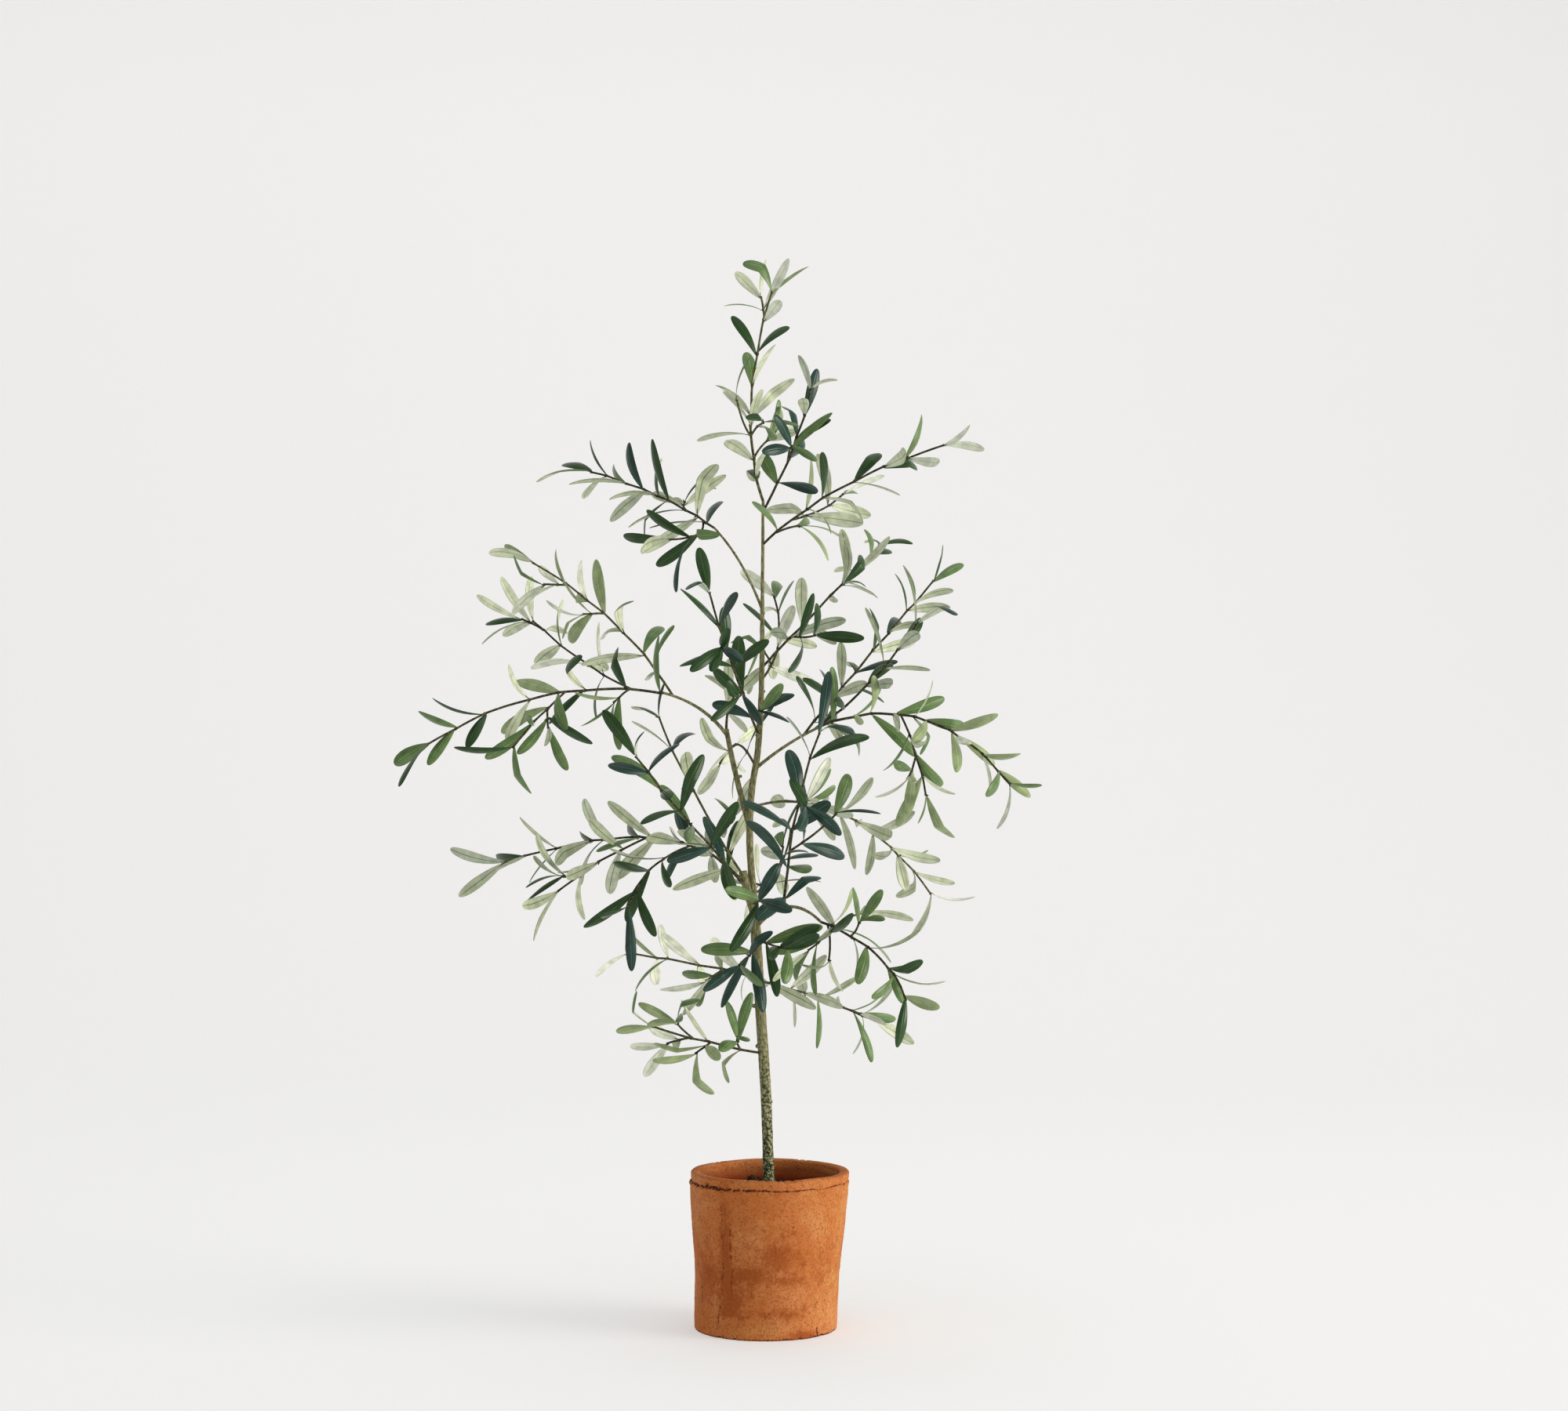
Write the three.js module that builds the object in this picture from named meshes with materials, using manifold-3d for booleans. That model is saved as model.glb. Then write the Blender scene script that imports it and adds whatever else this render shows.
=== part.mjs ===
// An artificial olive tree in a terracotta pot, 1.5 m tall.
// Millimetres, +Z up. The origin is the middle of the pot's flat underside. The tree is seen from the
// front along +Y, so +X is to the viewer's right and -Y is towards the viewer.
import * as THREE from "three";
import { mergeVertices } from "three/addons/utils/BufferGeometryUtils.js";
import Module from "manifold-3d";

const wasm = await Module();
wasm.setup();
const { Manifold, Mesh } = wasm;
const vec = (x, y, z) => new THREE.Vector3(x, y, z);

// Neighbouring pieces stay this far apart.
const CLEARANCE = 0.3;

// The pot, a thrown terracotta cylinder that narrows to its foot and leans a little.
const POT_HEIGHT = 225;
const POT_RIM_RADIUS = 114;
const POT_FOOT_RADIUS = 102;
const POT_LEAN = 5.6; // how far the rim's middle stands to +X of the foot's middle
const POT_WALL = 14;
const POT_FLOOR = 16;
const POT_FOOT_ROUND = 3;
const COLLAR_HEIGHT = 14; // the plain band under the rim
const COLLAR_STEP = 1.4; // how far the band stands out over the body
const RIM_ROUND = 4;
const POT_SIDES = 32;

// The weighted soil that fills the pot.
const SOIL_TOP = 197;
const SOIL_DISH = 4; // the soil rises this much from its edge to the trunk
const SOIL_FLAT_RADIUS = 34;

// The trunk, with its bends as [x, y, z] from the soil to the fork, and its radius by height.
const TRUNK_FOOT = SOIL_TOP + CLEARANCE;
const TRUNK_BENDS = [
  [4.5, 0, TRUNK_FOOT],
  [0, 1, 330],
  [-7, -2, 440],
  [-14, 0, 555],
  [-23, 3, 690],
  [-21, 2, 760],
  [-11, -2, 830],
  [-6, 0, 930],
  [-5, 3, 1060],
  [-4, 0, 1180],
];
const TRUNK_RADII = [
  [TRUNK_FOOT, 10],
  [215, 8.3],
  [250, 7.7],
  [590, 7.5],
  [650, 5.2],
  [830, 4.6],
  [955, 3.7],
  [1065, 2.5],
  [1180, 2.1],
];
const TRUNK_SIDES = 10;
const TRUNK_STEPS = 20;
const BOUGH_SIDES = 6;
const TWIG_SIDES = 3;
const LIMB_STEP = 45; // length of one straight stretch of a bough or twig
const TWIG_TIP_RADIUS = 1.4;

// The bare main boughs. Each runs from its foot on the limb `on`, at a height or at a share of that limb's
// length, to its tip, and its middle stands off the straight line by `bend`. `radii` are at foot and tip.
const BOUGHS = {
  second_stem: { on: "trunk", height: 716, tip: [-57, 20, 854], bend: [-2, -2, 0], radii: [4.5, 3.4] },
  left_arch: { on: "second_stem", at: 0.93, tip: [-147, 10, 906], bend: [6, 6, 8], radii: [2.8, 1.8] },
  right_arch: { on: "trunk", height: 797, tip: [81, -40, 860], bend: [-3, 5, 3], radii: [2.5, 1.8] },
  upper_left_bough: { on: "trunk", height: 1024, tip: [-75, 60, 1145], bend: [4, 0, 7], radii: [2, 1.6] },
  low_right_bough: { on: "trunk", height: 570, tip: [78, -65, 583], bend: [0, -2, 26], radii: [2.8, 1.9] },
  cut_stub: { on: "trunk", height: 592, tip: [-33, -8, 651], bend: [-1, 0, 0], radii: [6.4, 6.1] },
};

// The leafy sprays. A spray is one stem and the side twigs listed in it, with paired leaves along both. The
// stem has none over the share `bare` at its foot. `leaf` scales the leaves, and `shows` says which side of
// most blades faces the viewer.
const SPRAYS = {
  leader_spray: {
    on: "trunk", at: 1, tip: [8, -25, 1476], bend: [-23, 0, -15], radius: 1.9, bare: 0.12, seed: 11,
    twigs: [{ at: 0.36, tip: [-42, -35, 1321], bend: [-1, 2, -5] }],
  },
  fork_right_spray: {
    on: "trunk", height: 1165, tip: [64, -75, 1332], bend: [6, 5, -2], radius: 1.7, bare: 0.2, seed: 12,
  },
  upper_left_spray: {
    on: "upper_left_bough", at: 1, tip: [-260, 150, 1234], bend: [12, 5, 4], radius: 1.6, bare: 0.08,
    seed: 43,
    twigs: [{ at: 0.12, tip: [-140, 35, 1128], bend: [15, 2, -8] }],
  },
  upper_right_spray: {
    on: "trunk", height: 1118, tip: [250, -100, 1251], bend: [-14, -5, 12], radius: 1.7, bare: 0.14, seed: 14,
    twigs: [{ at: 0.2, tip: [112, 50, 1193], bend: [-2, 0, -7] }],
  },
  right_upper_spray: {
    on: "trunk", height: 942, tip: [168, 180, 1126], bend: [13, 0, 14], radius: 1.7, bare: 0.2, seed: 15,
    twigs: [{ at: 0.2, tip: [70, -5, 989], bend: [0, 0, -3] }],
  },
  front_upper_spray: {
    on: "trunk", height: 845, tip: [-76, -230, 1041], bend: [-2, -5, -1], radius: 1.7, bare: 0.15, seed: 16,
    shows: "upper",
  },
  back_upper_spray: {
    on: "trunk", height: 925, tip: [12, 210, 1050], bend: [14, 10, -10], radius: 1.6, bare: 0.2, seed: 17,
  },
  second_top_spray: {
    on: "second_stem", at: 1, tip: [-28, 110, 930], bend: [-7, -5, 4], radius: 1.7, bare: 0.2, seed: 51,
  },
  left_upper_spray: {
    on: "left_arch", at: 0.88, tip: [-344, 130, 1099], bend: [19, 0, 6], radius: 1.6, bare: 0.12, seed: 19,
  },
  left_long_spray: {
    on: "left_arch", at: 1, tip: [-465, -150, 834], bend: [-10, 10, 31], radius: 1.7, bare: 0.05, seed: 20,
    twigs: [
      { at: 0.12, tip: [-350, 215, 1015], bend: [0, -5, -9] },
      { at: 0.4, tip: [-352, -115, 830], bend: [2, 5, 6] },
    ],
  },
  right_long_spray: {
    on: "right_arch", at: 1, tip: [332, -220, 781], bend: [13, 10, 48], radius: 1.7, bare: 0.06, seed: 21,
    twigs: [{ at: 0.38, tip: [223, -135, 764], bend: [2, 5, 5] }],
  },
  right_up_spray: {
    on: "right_arch", at: 0.74, tip: [245, 100, 1070], bend: [-5, 0, -3], radius: 1.7, bare: 0.1, seed: 42,
  },
  right_mid_spray: {
    on: "right_arch", at: 0.88, tip: [211, -100, 1002], bend: [7, 6, -8], radius: 1.6, bare: 0.1, seed: 23,
  },
  low_right_spray: {
    on: "low_right_bough", at: 1, tip: [192, -185, 488], bend: [17, 2, 8], radius: 1.7, bare: 0.06, seed: 24,
    twigs: [
      { at: 0.12, tip: [133, -35, 593], bend: [-3, -2, 3] },
      { at: 0.05, tip: [89, -110, 533], bend: [2, 0, -1] },
    ],
  },
  upright_spray: {
    on: "low_right_bough", at: 0.45, tip: [73, -240, 851], bend: [-10, -12, -1], radius: 1.8, bare: 0.1,
    seed: 125, leaf: 1.08, shows: "upper",
    twigs: [{ at: 0.34, tip: [98, -130, 739], bend: [0, 2, -5] }],
  },
  mid_right_spray: {
    on: "trunk", height: 742, tip: [247, 230, 605], bend: [2, -5, 54], radius: 1.7, bare: 0.2, seed: 126,
    shows: "under",
  },
  low_back_right_spray: {
    on: "trunk", height: 494, tip: [166, 190, 416], bend: [-12, -5, 10], radius: 1.6, bare: 0.15, seed: 27,
  },
  low_back_left_spray: {
    on: "trunk", height: 500, tip: [-208, 200, 518], bend: [0, -10, 3], radius: 1.6, bare: 0.12, seed: 28,
  },
  low_front_right_spray: {
    on: "trunk", height: 552, tip: [32, -125, 550], bend: [1, 2, -1], radius: 1.5, bare: 0.3, seed: 29,
    shows: "upper",
  },
  low_front_left_spray: {
    on: "trunk", height: 538, tip: [-37, -115, 526], bend: [2, 2, 4], radius: 1.5, bare: 0.3, seed: 30,
    shows: "upper",
  },
  front_rosette_spray: {
    on: "trunk", height: 604, tip: [-8, -90, 615], bend: [2, -2, 1], radius: 1.5, bare: 0.4, seed: 31,
    shows: "upper",
  },
  low_left_spray: {
    on: "trunk", height: 391, tip: [-159, -80, 437], bend: [-2, 0, -2], radius: 1.6, bare: 0.12, seed: 32,
  },
  far_left_spray: {
    on: "cut_stub", at: 0.5, tip: [-385, 120, 657], bend: [51, 0, 56], radius: 1.7, bare: 0.18, seed: 33,
    twigs: [
      { at: 0.55, tip: [-299, 30, 620], bend: [-3, 5, 5] },
      { at: 0.36, tip: [-194, -45, 603], bend: [-11, 5, 12] },
    ],
  },
  inner_left_spray: {
    on: "cut_stub", at: 0.88, tip: [-156, 60, 871], bend: [-11, -12, 9], radius: 1.6, bare: 0.2, seed: 34,
    twigs: [{ at: 0.27, tip: [-46, 22, 728], bend: [7, -2, -3] }],
  },
  front_left_spray: {
    on: "cut_stub", at: 0.7, tip: [-173, -250, 819], bend: [-12, -1, 8], radius: 1.7, bare: 0.18, seed: 35,
    leaf: 1.05, shows: "upper",
  },
  back_low_spray: {
    on: "trunk", height: 618, tip: [35, 230, 700], bend: [10, 5, -12], radius: 1.6, bare: 0.2, seed: 36,
  },
  back_mid_spray: {
    on: "trunk", height: 800, tip: [-70, 240, 800], bend: [0, 10, 30], radius: 1.6, bare: 0.2, seed: 37,
  },
};

// Leaves and how they stand.
const LEAF_LENGTH = [65, 83];
const LEAF_WIDTH = [17, 21.5];
const LEAF_THICKNESS = 1.2;
const STALK_WIDTH = 1.2;
const TIP_LEAF = 0.88; // size of the leaves at a shoot's tip beside those at its foot
const PAIR_SPACING = 54; // along a stem, from one pair of leaves to the next
const PAIR_STRAY = 0.3; // a pair strays by up to this share of the spacing
const PAIR_STAGGER = 3.5; // the two leaves of a pair stand this far apart along the stem
const TWIG_BARE = 0.3; // the share of a side twig that has no leaves
const LEAN_AT_FOOT = 1.05; // angle between leaf and stem, in radians, low on a shoot
const LEAN_AT_TIP = 0.42;
const LEAN_SPREAD = 0.22;
const TURN_SPREAD = 0.35; // how far a pair strays from standing square across the pair below
const ROLL_SPREAD = 0.6;
const CURL = [0.12, 0.85]; // how far a blade bends back over its length
const KINK_SHARE = 0.16; // part of the blades that are creased
const KINK = [0.6, 1.25];
const KINK_AT = 0.55;
const TWIST_SPREAD = 0.7;
const BLADE_BELLY = 1.35; // above 1, a blade is widest past its middle
const BLADE_FULLNESS = 0.6; // below 1, its sides run side by side and its tip is blunt
const BLADE_STATIONS = [0.34, 0.74]; // where a blade has a full cross-section
const VIEWER = vec(0, -1, 0.35).normalize();
const VIEWER_PULL = 1.1; // how strongly the blades turn to the viewer
const UPPER_SHARE = 0.6; // part of the blades that show their upper side, where a spray doesn't say
const SPUR_SHARE = 0.06; // part of the leaves that stand on a short side twig of their own
const SPUR_LENGTH = [26, 46];
const SPUR_BEND = 0.06; // how far a spur's middle stands off its straight line, as a share of its length
const SPUR_BARE = 0.7;
const SPUR_LEAF = 0.9;

// Every leaf and twig is filled with small balls, and a new one keeps its balls clear of all the others.
const BALL_STEP = 4.5;
const BALLS_ACROSS = [-1, -1 / 3, 1 / 3, 1]; // their places over half a blade's width
const BALLS_A_GROUP = 12;
const LEAF_BALL_RADIUS = 1;
const BALL_GAP = 2.2;
const ROOT_SHARE = 0.25; // this much of a leaf may come near its own spray's twigs and leaves
const SWINGS = [0, 0.45, -0.45, 0.9, -0.9]; // other turns a leaf tries before it is left out

// Solids, made from closed three.js geometries and back.
function solidOf(geometry) {
  const bare = new THREE.BufferGeometry();
  bare.setAttribute("position", geometry.getAttribute("position"));
  bare.setIndex(geometry.index);
  const merged = mergeVertices(bare, 1e-4);
  const corners = merged.index.array;
  const kept = [];
  for (let i = 0; i < corners.length; i += 3) {
    const [a, b, c] = corners.slice(i, i + 3);
    if (a !== b && b !== c && c !== a) kept.push(a, b, c);
  }
  const vertProperties = merged.attributes.position.array;
  return new Manifold(new Mesh({ numProp: 3, vertProperties, triVerts: new Uint32Array(kept) }));
}

function geometryOf(solid) {
  const { vertProperties, triVerts } = solid.getMesh();
  const geometry = new THREE.BufferGeometry();
  geometry.setAttribute("position", new THREE.BufferAttribute(vertProperties, 3));
  geometry.setIndex(new THREE.BufferAttribute(triVerts, 1));
  geometry.computeVertexNormals();
  return geometry;
}

// The largest body of a solid, without loose scraps and sealed hollows.
function largestBody(solid) {
  const bodies = solid.decompose();
  return bodies.reduce((a, b) => (b.volume() > a.volume() ? b : a));
}

// Whether four corners, folded along the line from a to c, stand out as a ridge and not in as a valley.
function isRidge(a, b, c, d) {
  const outward = b.clone().sub(a).cross(c.clone().sub(a));
  return outward.dot(d.clone().sub(a)) <= 0;
}

// A closed skin over rings of corners that run counterclockwise seen from the far end. The last ring may be
// a single point. Where two rings are twisted, the skin between them folds outwards, so thin blades keep
// their walls apart.
function skin(rings) {
  const sides = rings[0].length;
  const corners = rings.flat();
  const position = corners.flatMap((corner) => corner.toArray());
  const index = [];
  for (let i = 1; i < sides - 1; i++) index.push(0, i + 1, i);
  for (let ring = 1; ring < rings.length; ring++) {
    const low = (ring - 1) * sides;
    const high = ring * sides;
    const pointed = rings[ring].length === 1;
    for (let i = 0; i < sides; i++) {
      const next = (i + 1) % sides;
      if (pointed) {
        index.push(low + i, low + next, high);
        continue;
      }
      const [a, b, c, d] = [low + i, low + next, high + next, high + i];
      if (isRidge(...[a, b, c, d].map((corner) => corners[corner]))) index.push(a, b, c, a, c, d);
      else index.push(a, b, d, b, c, d);
    }
  }
  const last = (rings.length - 1) * sides;
  if (rings.at(-1).length > 1) {
    for (let i = 1; i < sides - 1; i++) index.push(last, last + i, last + i + 1);
  }
  const geometry = new THREE.BufferGeometry();
  geometry.setAttribute("position", new THREE.Float32BufferAttribute(position, 3));
  geometry.setIndex(index);
  return solidOf(geometry);
}

// A piece turned about the vertical from a profile of [radius, height] points, leaning as the pot leans.
function turned(profile) {
  const points = profile.map(([radius, height]) => new THREE.Vector2(radius, height));
  const geometry = new THREE.LatheGeometry(points, POT_SIDES);
  geometry.rotateX(Math.PI / 2);
  geometry.applyMatrix4(new THREE.Matrix4().makeShear(0, 0, 0, 0, POT_LEAN / POT_HEIGHT, 0));
  return solidOf(geometry);
}

const share = (low, high, part) => low + (high - low) * part;
const potRadiusAt = (height) => share(POT_FOOT_RADIUS, POT_RIM_RADIUS, height / POT_HEIGHT);
const boreRadiusAt = (height) => potRadiusAt(height) - POT_WALL;

function makePot() {
  const under = POT_HEIGHT - COLLAR_HEIGHT;
  const rim = POT_RIM_RADIUS;
  const mouth = POT_HEIGHT - RIM_ROUND;
  return turned([
    [0, 0],
    [POT_FOOT_RADIUS - POT_FOOT_ROUND, 0],
    [POT_FOOT_RADIUS, POT_FOOT_ROUND],
    [potRadiusAt(under / 2), under / 2],
    [potRadiusAt(under) - COLLAR_STEP, under],
    [rim, under + COLLAR_STEP],
    [rim, mouth],
    [rim - RIM_ROUND, POT_HEIGHT],
    [boreRadiusAt(mouth) + RIM_ROUND, POT_HEIGHT],
    [boreRadiusAt(mouth), mouth],
    [boreRadiusAt(POT_FLOOR), POT_FLOOR],
    [0, POT_FLOOR],
  ]);
}

function makeSoil() {
  const inside = (height) => boreRadiusAt(height) - CLEARANCE;
  const foot = POT_FLOOR + CLEARANCE;
  const edge = SOIL_TOP - SOIL_DISH;
  return turned([
    [0, foot],
    [inside(foot), foot],
    [inside(edge), edge],
    [SOIL_FLAT_RADIUS, SOIL_TOP],
    [0, SOIL_TOP],
  ]);
}

// Limbs. A route is a curve, and a limb is a tapering tube round it.
const trunkRoute = new THREE.CatmullRomCurve3(TRUNK_BENDS.map((p) => vec(...p)), false, "catmullrom", 0.5);

function trunkRadiusAt(height) {
  const last = TRUNK_RADII.length - 1;
  for (let i = 0; i < last; i++) {
    const [low, foot] = TRUNK_RADII[i];
    const [high, top] = TRUNK_RADII[i + 1];
    if (height <= high) return share(foot, top, Math.max(0, (height - low) / (high - low)));
  }
  return TRUNK_RADII[last][1];
}

// The share of the trunk's route, which only ever rises, that lies at a height.
function trunkShareAt(height) {
  const halvings = 30;
  let low = 0;
  let high = 1;
  for (let i = 0; i < halvings; i++) {
    const middle = (low + high) / 2;
    if (trunkRoute.getPoint(middle).z < height) low = middle;
    else high = middle;
  }
  return low;
}

function bentRoute(foot, tip, bend) {
  const control = foot.clone().lerp(tip, 0.5).addScaledVector(bend, 2);
  return new THREE.QuadraticBezierCurve3(foot, control, tip);
}

function lengthOf(route) {
  const pieces = 32;
  let length = 0;
  for (let i = 0; i < pieces; i++) {
    length += route.getPoint(i / pieces).distanceTo(route.getPoint((i + 1) / pieces));
  }
  return length;
}

// The rings of corners round a route. `extra` fattens a limb all round and at its ends, for cutting its
// neighbours clear of it.
function ringsRound(route, radiusAt, sides, steps, extra = 0) {
  const frames = route.computeFrenetFrames(steps, false);
  const rings = [];
  for (let i = 0; i <= steps; i++) {
    const centre = route.getPointAt(i / steps);
    const radius = radiusAt(i / steps, centre) + extra;
    if (i === 0) centre.addScaledVector(frames.tangents[i], -extra);
    if (i === steps) centre.addScaledVector(frames.tangents[i], extra);
    const ring = [];
    for (let side = 0; side < sides; side++) {
      const angle = (side / sides) * 2 * Math.PI;
      const corner = centre.clone();
      corner.addScaledVector(frames.normals[i], radius * Math.cos(angle));
      corner.addScaledVector(frames.binormals[i], radius * Math.sin(angle));
      ring.push(corner);
    }
    rings.push(ring);
  }
  return rings;
}

function trunkSolid(extra = 0) {
  const radiusAt = (_, centre) => trunkRadiusAt(centre.z);
  const rings = ringsRound(trunkRoute, radiusAt, TRUNK_SIDES, TRUNK_STEPS, extra);
  for (const corner of rings[0]) corner.z = TRUNK_FOOT; // the flat cut at the soil
  return skin(rings);
}

function limbSolid(limb, sides, extra = 0) {
  const steps = Math.max(2, Math.ceil(limb.length / LIMB_STEP));
  const [foot, tip] = limb.radii;
  return skin(ringsRound(limb.route, (part) => share(foot, tip, part), sides, steps, extra));
}

// A limb that starts on another one, with its route and length worked out.
function placeLimb(spec, parentRoute, radii) {
  const at = spec.height === undefined ? spec.at : trunkShareAt(spec.height);
  const route = bentRoute(parentRoute.getPoint(at), vec(...spec.tip), vec(...spec.bend));
  return { route, radii, length: lengthOf(route) };
}

// Balls, in groups that are compared by their middles first.
const taken = [];

function groupOf(balls, owner, spray) {
  const middle = vec(0, 0, 0);
  for (const ball of balls) middle.addScaledVector(ball.point, 1 / balls.length);
  const reach = Math.max(...balls.map((ball) => ball.point.distanceTo(middle) + ball.radius));
  return { balls, owner, spray, middle, reach };
}

function ballsAlong(limb) {
  const steps = Math.ceil(limb.length / BALL_STEP);
  const balls = [];
  for (let i = 0; i <= steps; i++) {
    const part = i / steps;
    const point = limb.route.getPoint(part);
    const radius = limb.radiusAt ? limb.radiusAt(point) : share(...limb.radii, part);
    balls.push({ point, radius, isRoot: part < ROOT_SHARE });
  }
  return balls;
}

function takeLimb(limb, owner, spray) {
  const balls = ballsAlong(limb);
  for (let i = 0; i < balls.length; i += BALLS_A_GROUP) {
    taken.push(groupOf(balls.slice(i, i + BALLS_A_GROUP), owner, spray));
  }
}

function isClear(group) {
  for (const other of taken) {
    if (other.owner === group.owner) continue;
    if (other.middle.distanceTo(group.middle) > other.reach + group.reach + BALL_GAP) continue;
    const kin = other.spray === group.spray;
    for (const a of group.balls) {
      if (kin && a.isRoot) continue;
      for (const b of other.balls) {
        if (a.point.distanceTo(b.point) < a.radius + b.radius + BALL_GAP) return false;
      }
    }
  }
  return true;
}

// A small generator that gives every shoot its own fixed run of chance, from 0 to 1.
function chanceFrom(seed) {
  const modulus = 2147483647;
  const multiplier = 48271;
  const seedStep = 7919;
  const warmUp = 4;
  let state = seed * seedStep;
  const next = () => {
    state = (state * multiplier) % modulus;
    return state / modulus;
  };
  for (let i = 0; i < warmUp; i++) next();
  return next;
}

const spread = (size, chance) => size * (2 * chance - 1);

// A blade's width at a share of its length: oblong, widest past the middle, with a blunt tip.
function bladeWidth(leaf, part) {
  const full = Math.max(0, Math.sin(Math.PI * part ** BLADE_BELLY));
  return Math.max(STALK_WIDTH, leaf.width * full ** BLADE_FULLNESS);
}

// A blade bends back in one arc, or in two with a crease between them. This gives the point on its midrib
// at a share of its length, and the directions along it, across it and out of its upper side there.
function bladeAt(leaf, part) {
  const arc = (start, size) => [
    (leaf.length * (Math.sin(start + leaf.curl * size) - Math.sin(start))) / leaf.curl,
    (leaf.length * (Math.cos(start) - Math.cos(start + leaf.curl * size))) / leaf.curl,
  ];
  let [along, down] = arc(0, Math.min(part, KINK_AT));
  let angle = leaf.curl * part;
  if (part > KINK_AT) {
    const start = leaf.curl * KINK_AT + leaf.kink;
    const [more, lower] = arc(start, part - KINK_AT);
    along += more;
    down += lower;
    angle += leaf.kink;
  }
  const point = leaf.root.clone().addScaledVector(leaf.axis, along).addScaledVector(leaf.face, -down);
  const [cos, sin] = [Math.cos(angle), Math.sin(angle)];
  const heading = leaf.axis.clone().multiplyScalar(cos).addScaledVector(leaf.face, -sin);
  const up = leaf.face.clone().multiplyScalar(cos).addScaledVector(leaf.axis, sin);
  up.applyAxisAngle(heading, leaf.twist * part);
  return { point, up, across: up.clone().cross(heading) };
}

function leafGroup(leaf, owner, spray) {
  const steps = Math.ceil(leaf.length / BALL_STEP);
  const radius = LEAF_BALL_RADIUS;
  const balls = [];
  for (let i = 0; i <= steps; i++) {
    const part = i / steps;
    const { point, across } = bladeAt(leaf, part);
    const half = bladeWidth(leaf, part) / 2;
    for (const side of BALLS_ACROSS) {
      const centre = point.clone().addScaledVector(across, side * half);
      balls.push({ point: centre, radius, isRoot: part < ROOT_SHARE });
    }
  }
  return groupOf(balls, owner, spray);
}

// The leaf that one run of chance gives at a place on a shoot.
function leafFrom(place, turn, draw) {
  const { root, tangent, lean, scale, shows } = place;
  const side = tangent.clone().cross(vec(0, 1, 0)).normalize();
  const back = tangent.clone().cross(side);
  const outward = side.multiplyScalar(Math.cos(turn)).addScaledVector(back, Math.sin(turn));
  const tilt = lean + spread(LEAN_SPREAD, draw[0]);
  const axis = tangent.clone().multiplyScalar(Math.cos(tilt)).addScaledVector(outward, Math.sin(tilt));
  const towards = { upper: 1, under: -1, both: draw[1] < UPPER_SHARE ? 1 : -1 }[shows];
  const face = tangent.clone().addScaledVector(axis, -tangent.dot(axis)).normalize();
  face.addScaledVector(VIEWER, VIEWER_PULL * towards);
  face.addScaledVector(axis, -face.dot(axis)).normalize();
  face.applyAxisAngle(axis, spread(ROLL_SPREAD, draw[2]));
  return {
    root,
    axis,
    face,
    length: share(...LEAF_LENGTH, draw[3]) * scale,
    width: share(...LEAF_WIDTH, draw[4]) * scale,
    curl: share(...CURL, draw[5]),
    kink: draw[6] < KINK_SHARE ? share(...KINK, draw[6] / KINK_SHARE) : 0,
    twist: spread(TWIST_SPREAD, draw[7]),
  };
}

// Grows the pairs of leaves along one shoot into `spray`. Each pair stands across the one before it, and
// the last pair stands at the shoot's tip. Each leaf takes ten draws of chance. Now and then it is a short
// spur with leaves of its own, and where it would touch anything it is turned, or left out.
let pairs = 0;
function growShoot(shoot, spray) {
  const chance = chanceFrom(shoot.seed);
  const count = Math.max(1, Math.round((shoot.length * (1 - shoot.bare)) / PAIR_SPACING));
  const firstTurn = chance() * Math.PI;
  for (let i = 0; i <= count; i++) {
    pairs++;
    const owner = "pair " + pairs;
    const stray = i === count ? 0 : spread(PAIR_STRAY / count, chance());
    const part = Math.min(1, share(shoot.bare, 1, i / count) + stray);
    const turn = firstTurn + (i * Math.PI) / 2 + spread(TURN_SPREAD, chance());
    for (const half of [0, 1]) {
      const draw = Array.from({ length: 10 }, chance);
      const rootPart = Math.max(0, part - (half * PAIR_STAGGER) / shoot.length);
      const place = {
        root: shoot.route.getPoint(rootPart),
        tangent: shoot.route.getTangent(rootPart),
        lean: share(LEAN_AT_FOOT, LEAN_AT_TIP, part),
        scale: shoot.leaf * share(1, TIP_LEAF, part),
        shows: shoot.shows,
      };
      const leafTurn = turn + half * Math.PI + spread(TURN_SPREAD / 2, draw[8]);
      const forks = shoot.mayFork && i < count && draw[9] < SPUR_SHARE;
      if (forks && growSpur(place, leafTurn, draw, shoot, spray)) continue;
      for (const swing of SWINGS) {
        const leaf = leafFrom(place, leafTurn + swing, draw);
        const group = leafGroup(leaf, owner, spray.name);
        if (!isClear(group)) continue;
        taken.push(group);
        spray.leaves.push(leaf);
        break;
      }
    }
  }
}

function growSpur(place, turn, draw, shoot, spray) {
  const { axis, face } = leafFrom(place, turn, draw);
  const length = share(...SPUR_LENGTH, draw[3]);
  const tip = place.root.clone().addScaledVector(axis, length);
  const route = bentRoute(place.root, tip, face.multiplyScalar(SPUR_BEND * length));
  const spur = { route, length, radii: [TWIG_TIP_RADIUS, TWIG_TIP_RADIUS] };
  const owner = "spur " + pairs + draw[9];
  if (!isClear(groupOf(ballsAlong(spur), owner, spray.name))) return false;
  takeLimb(spur, owner, spray.name);
  spray.twigs.push(spur);
  const seed = Math.floor(draw[5] * 1e6) + 1;
  const leaf = shoot.leaf * SPUR_LEAF;
  growShoot({ ...spur, seed, bare: SPUR_BARE, leaf, shows: shoot.shows, mayFork: false }, spray);
  return true;
}

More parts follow.
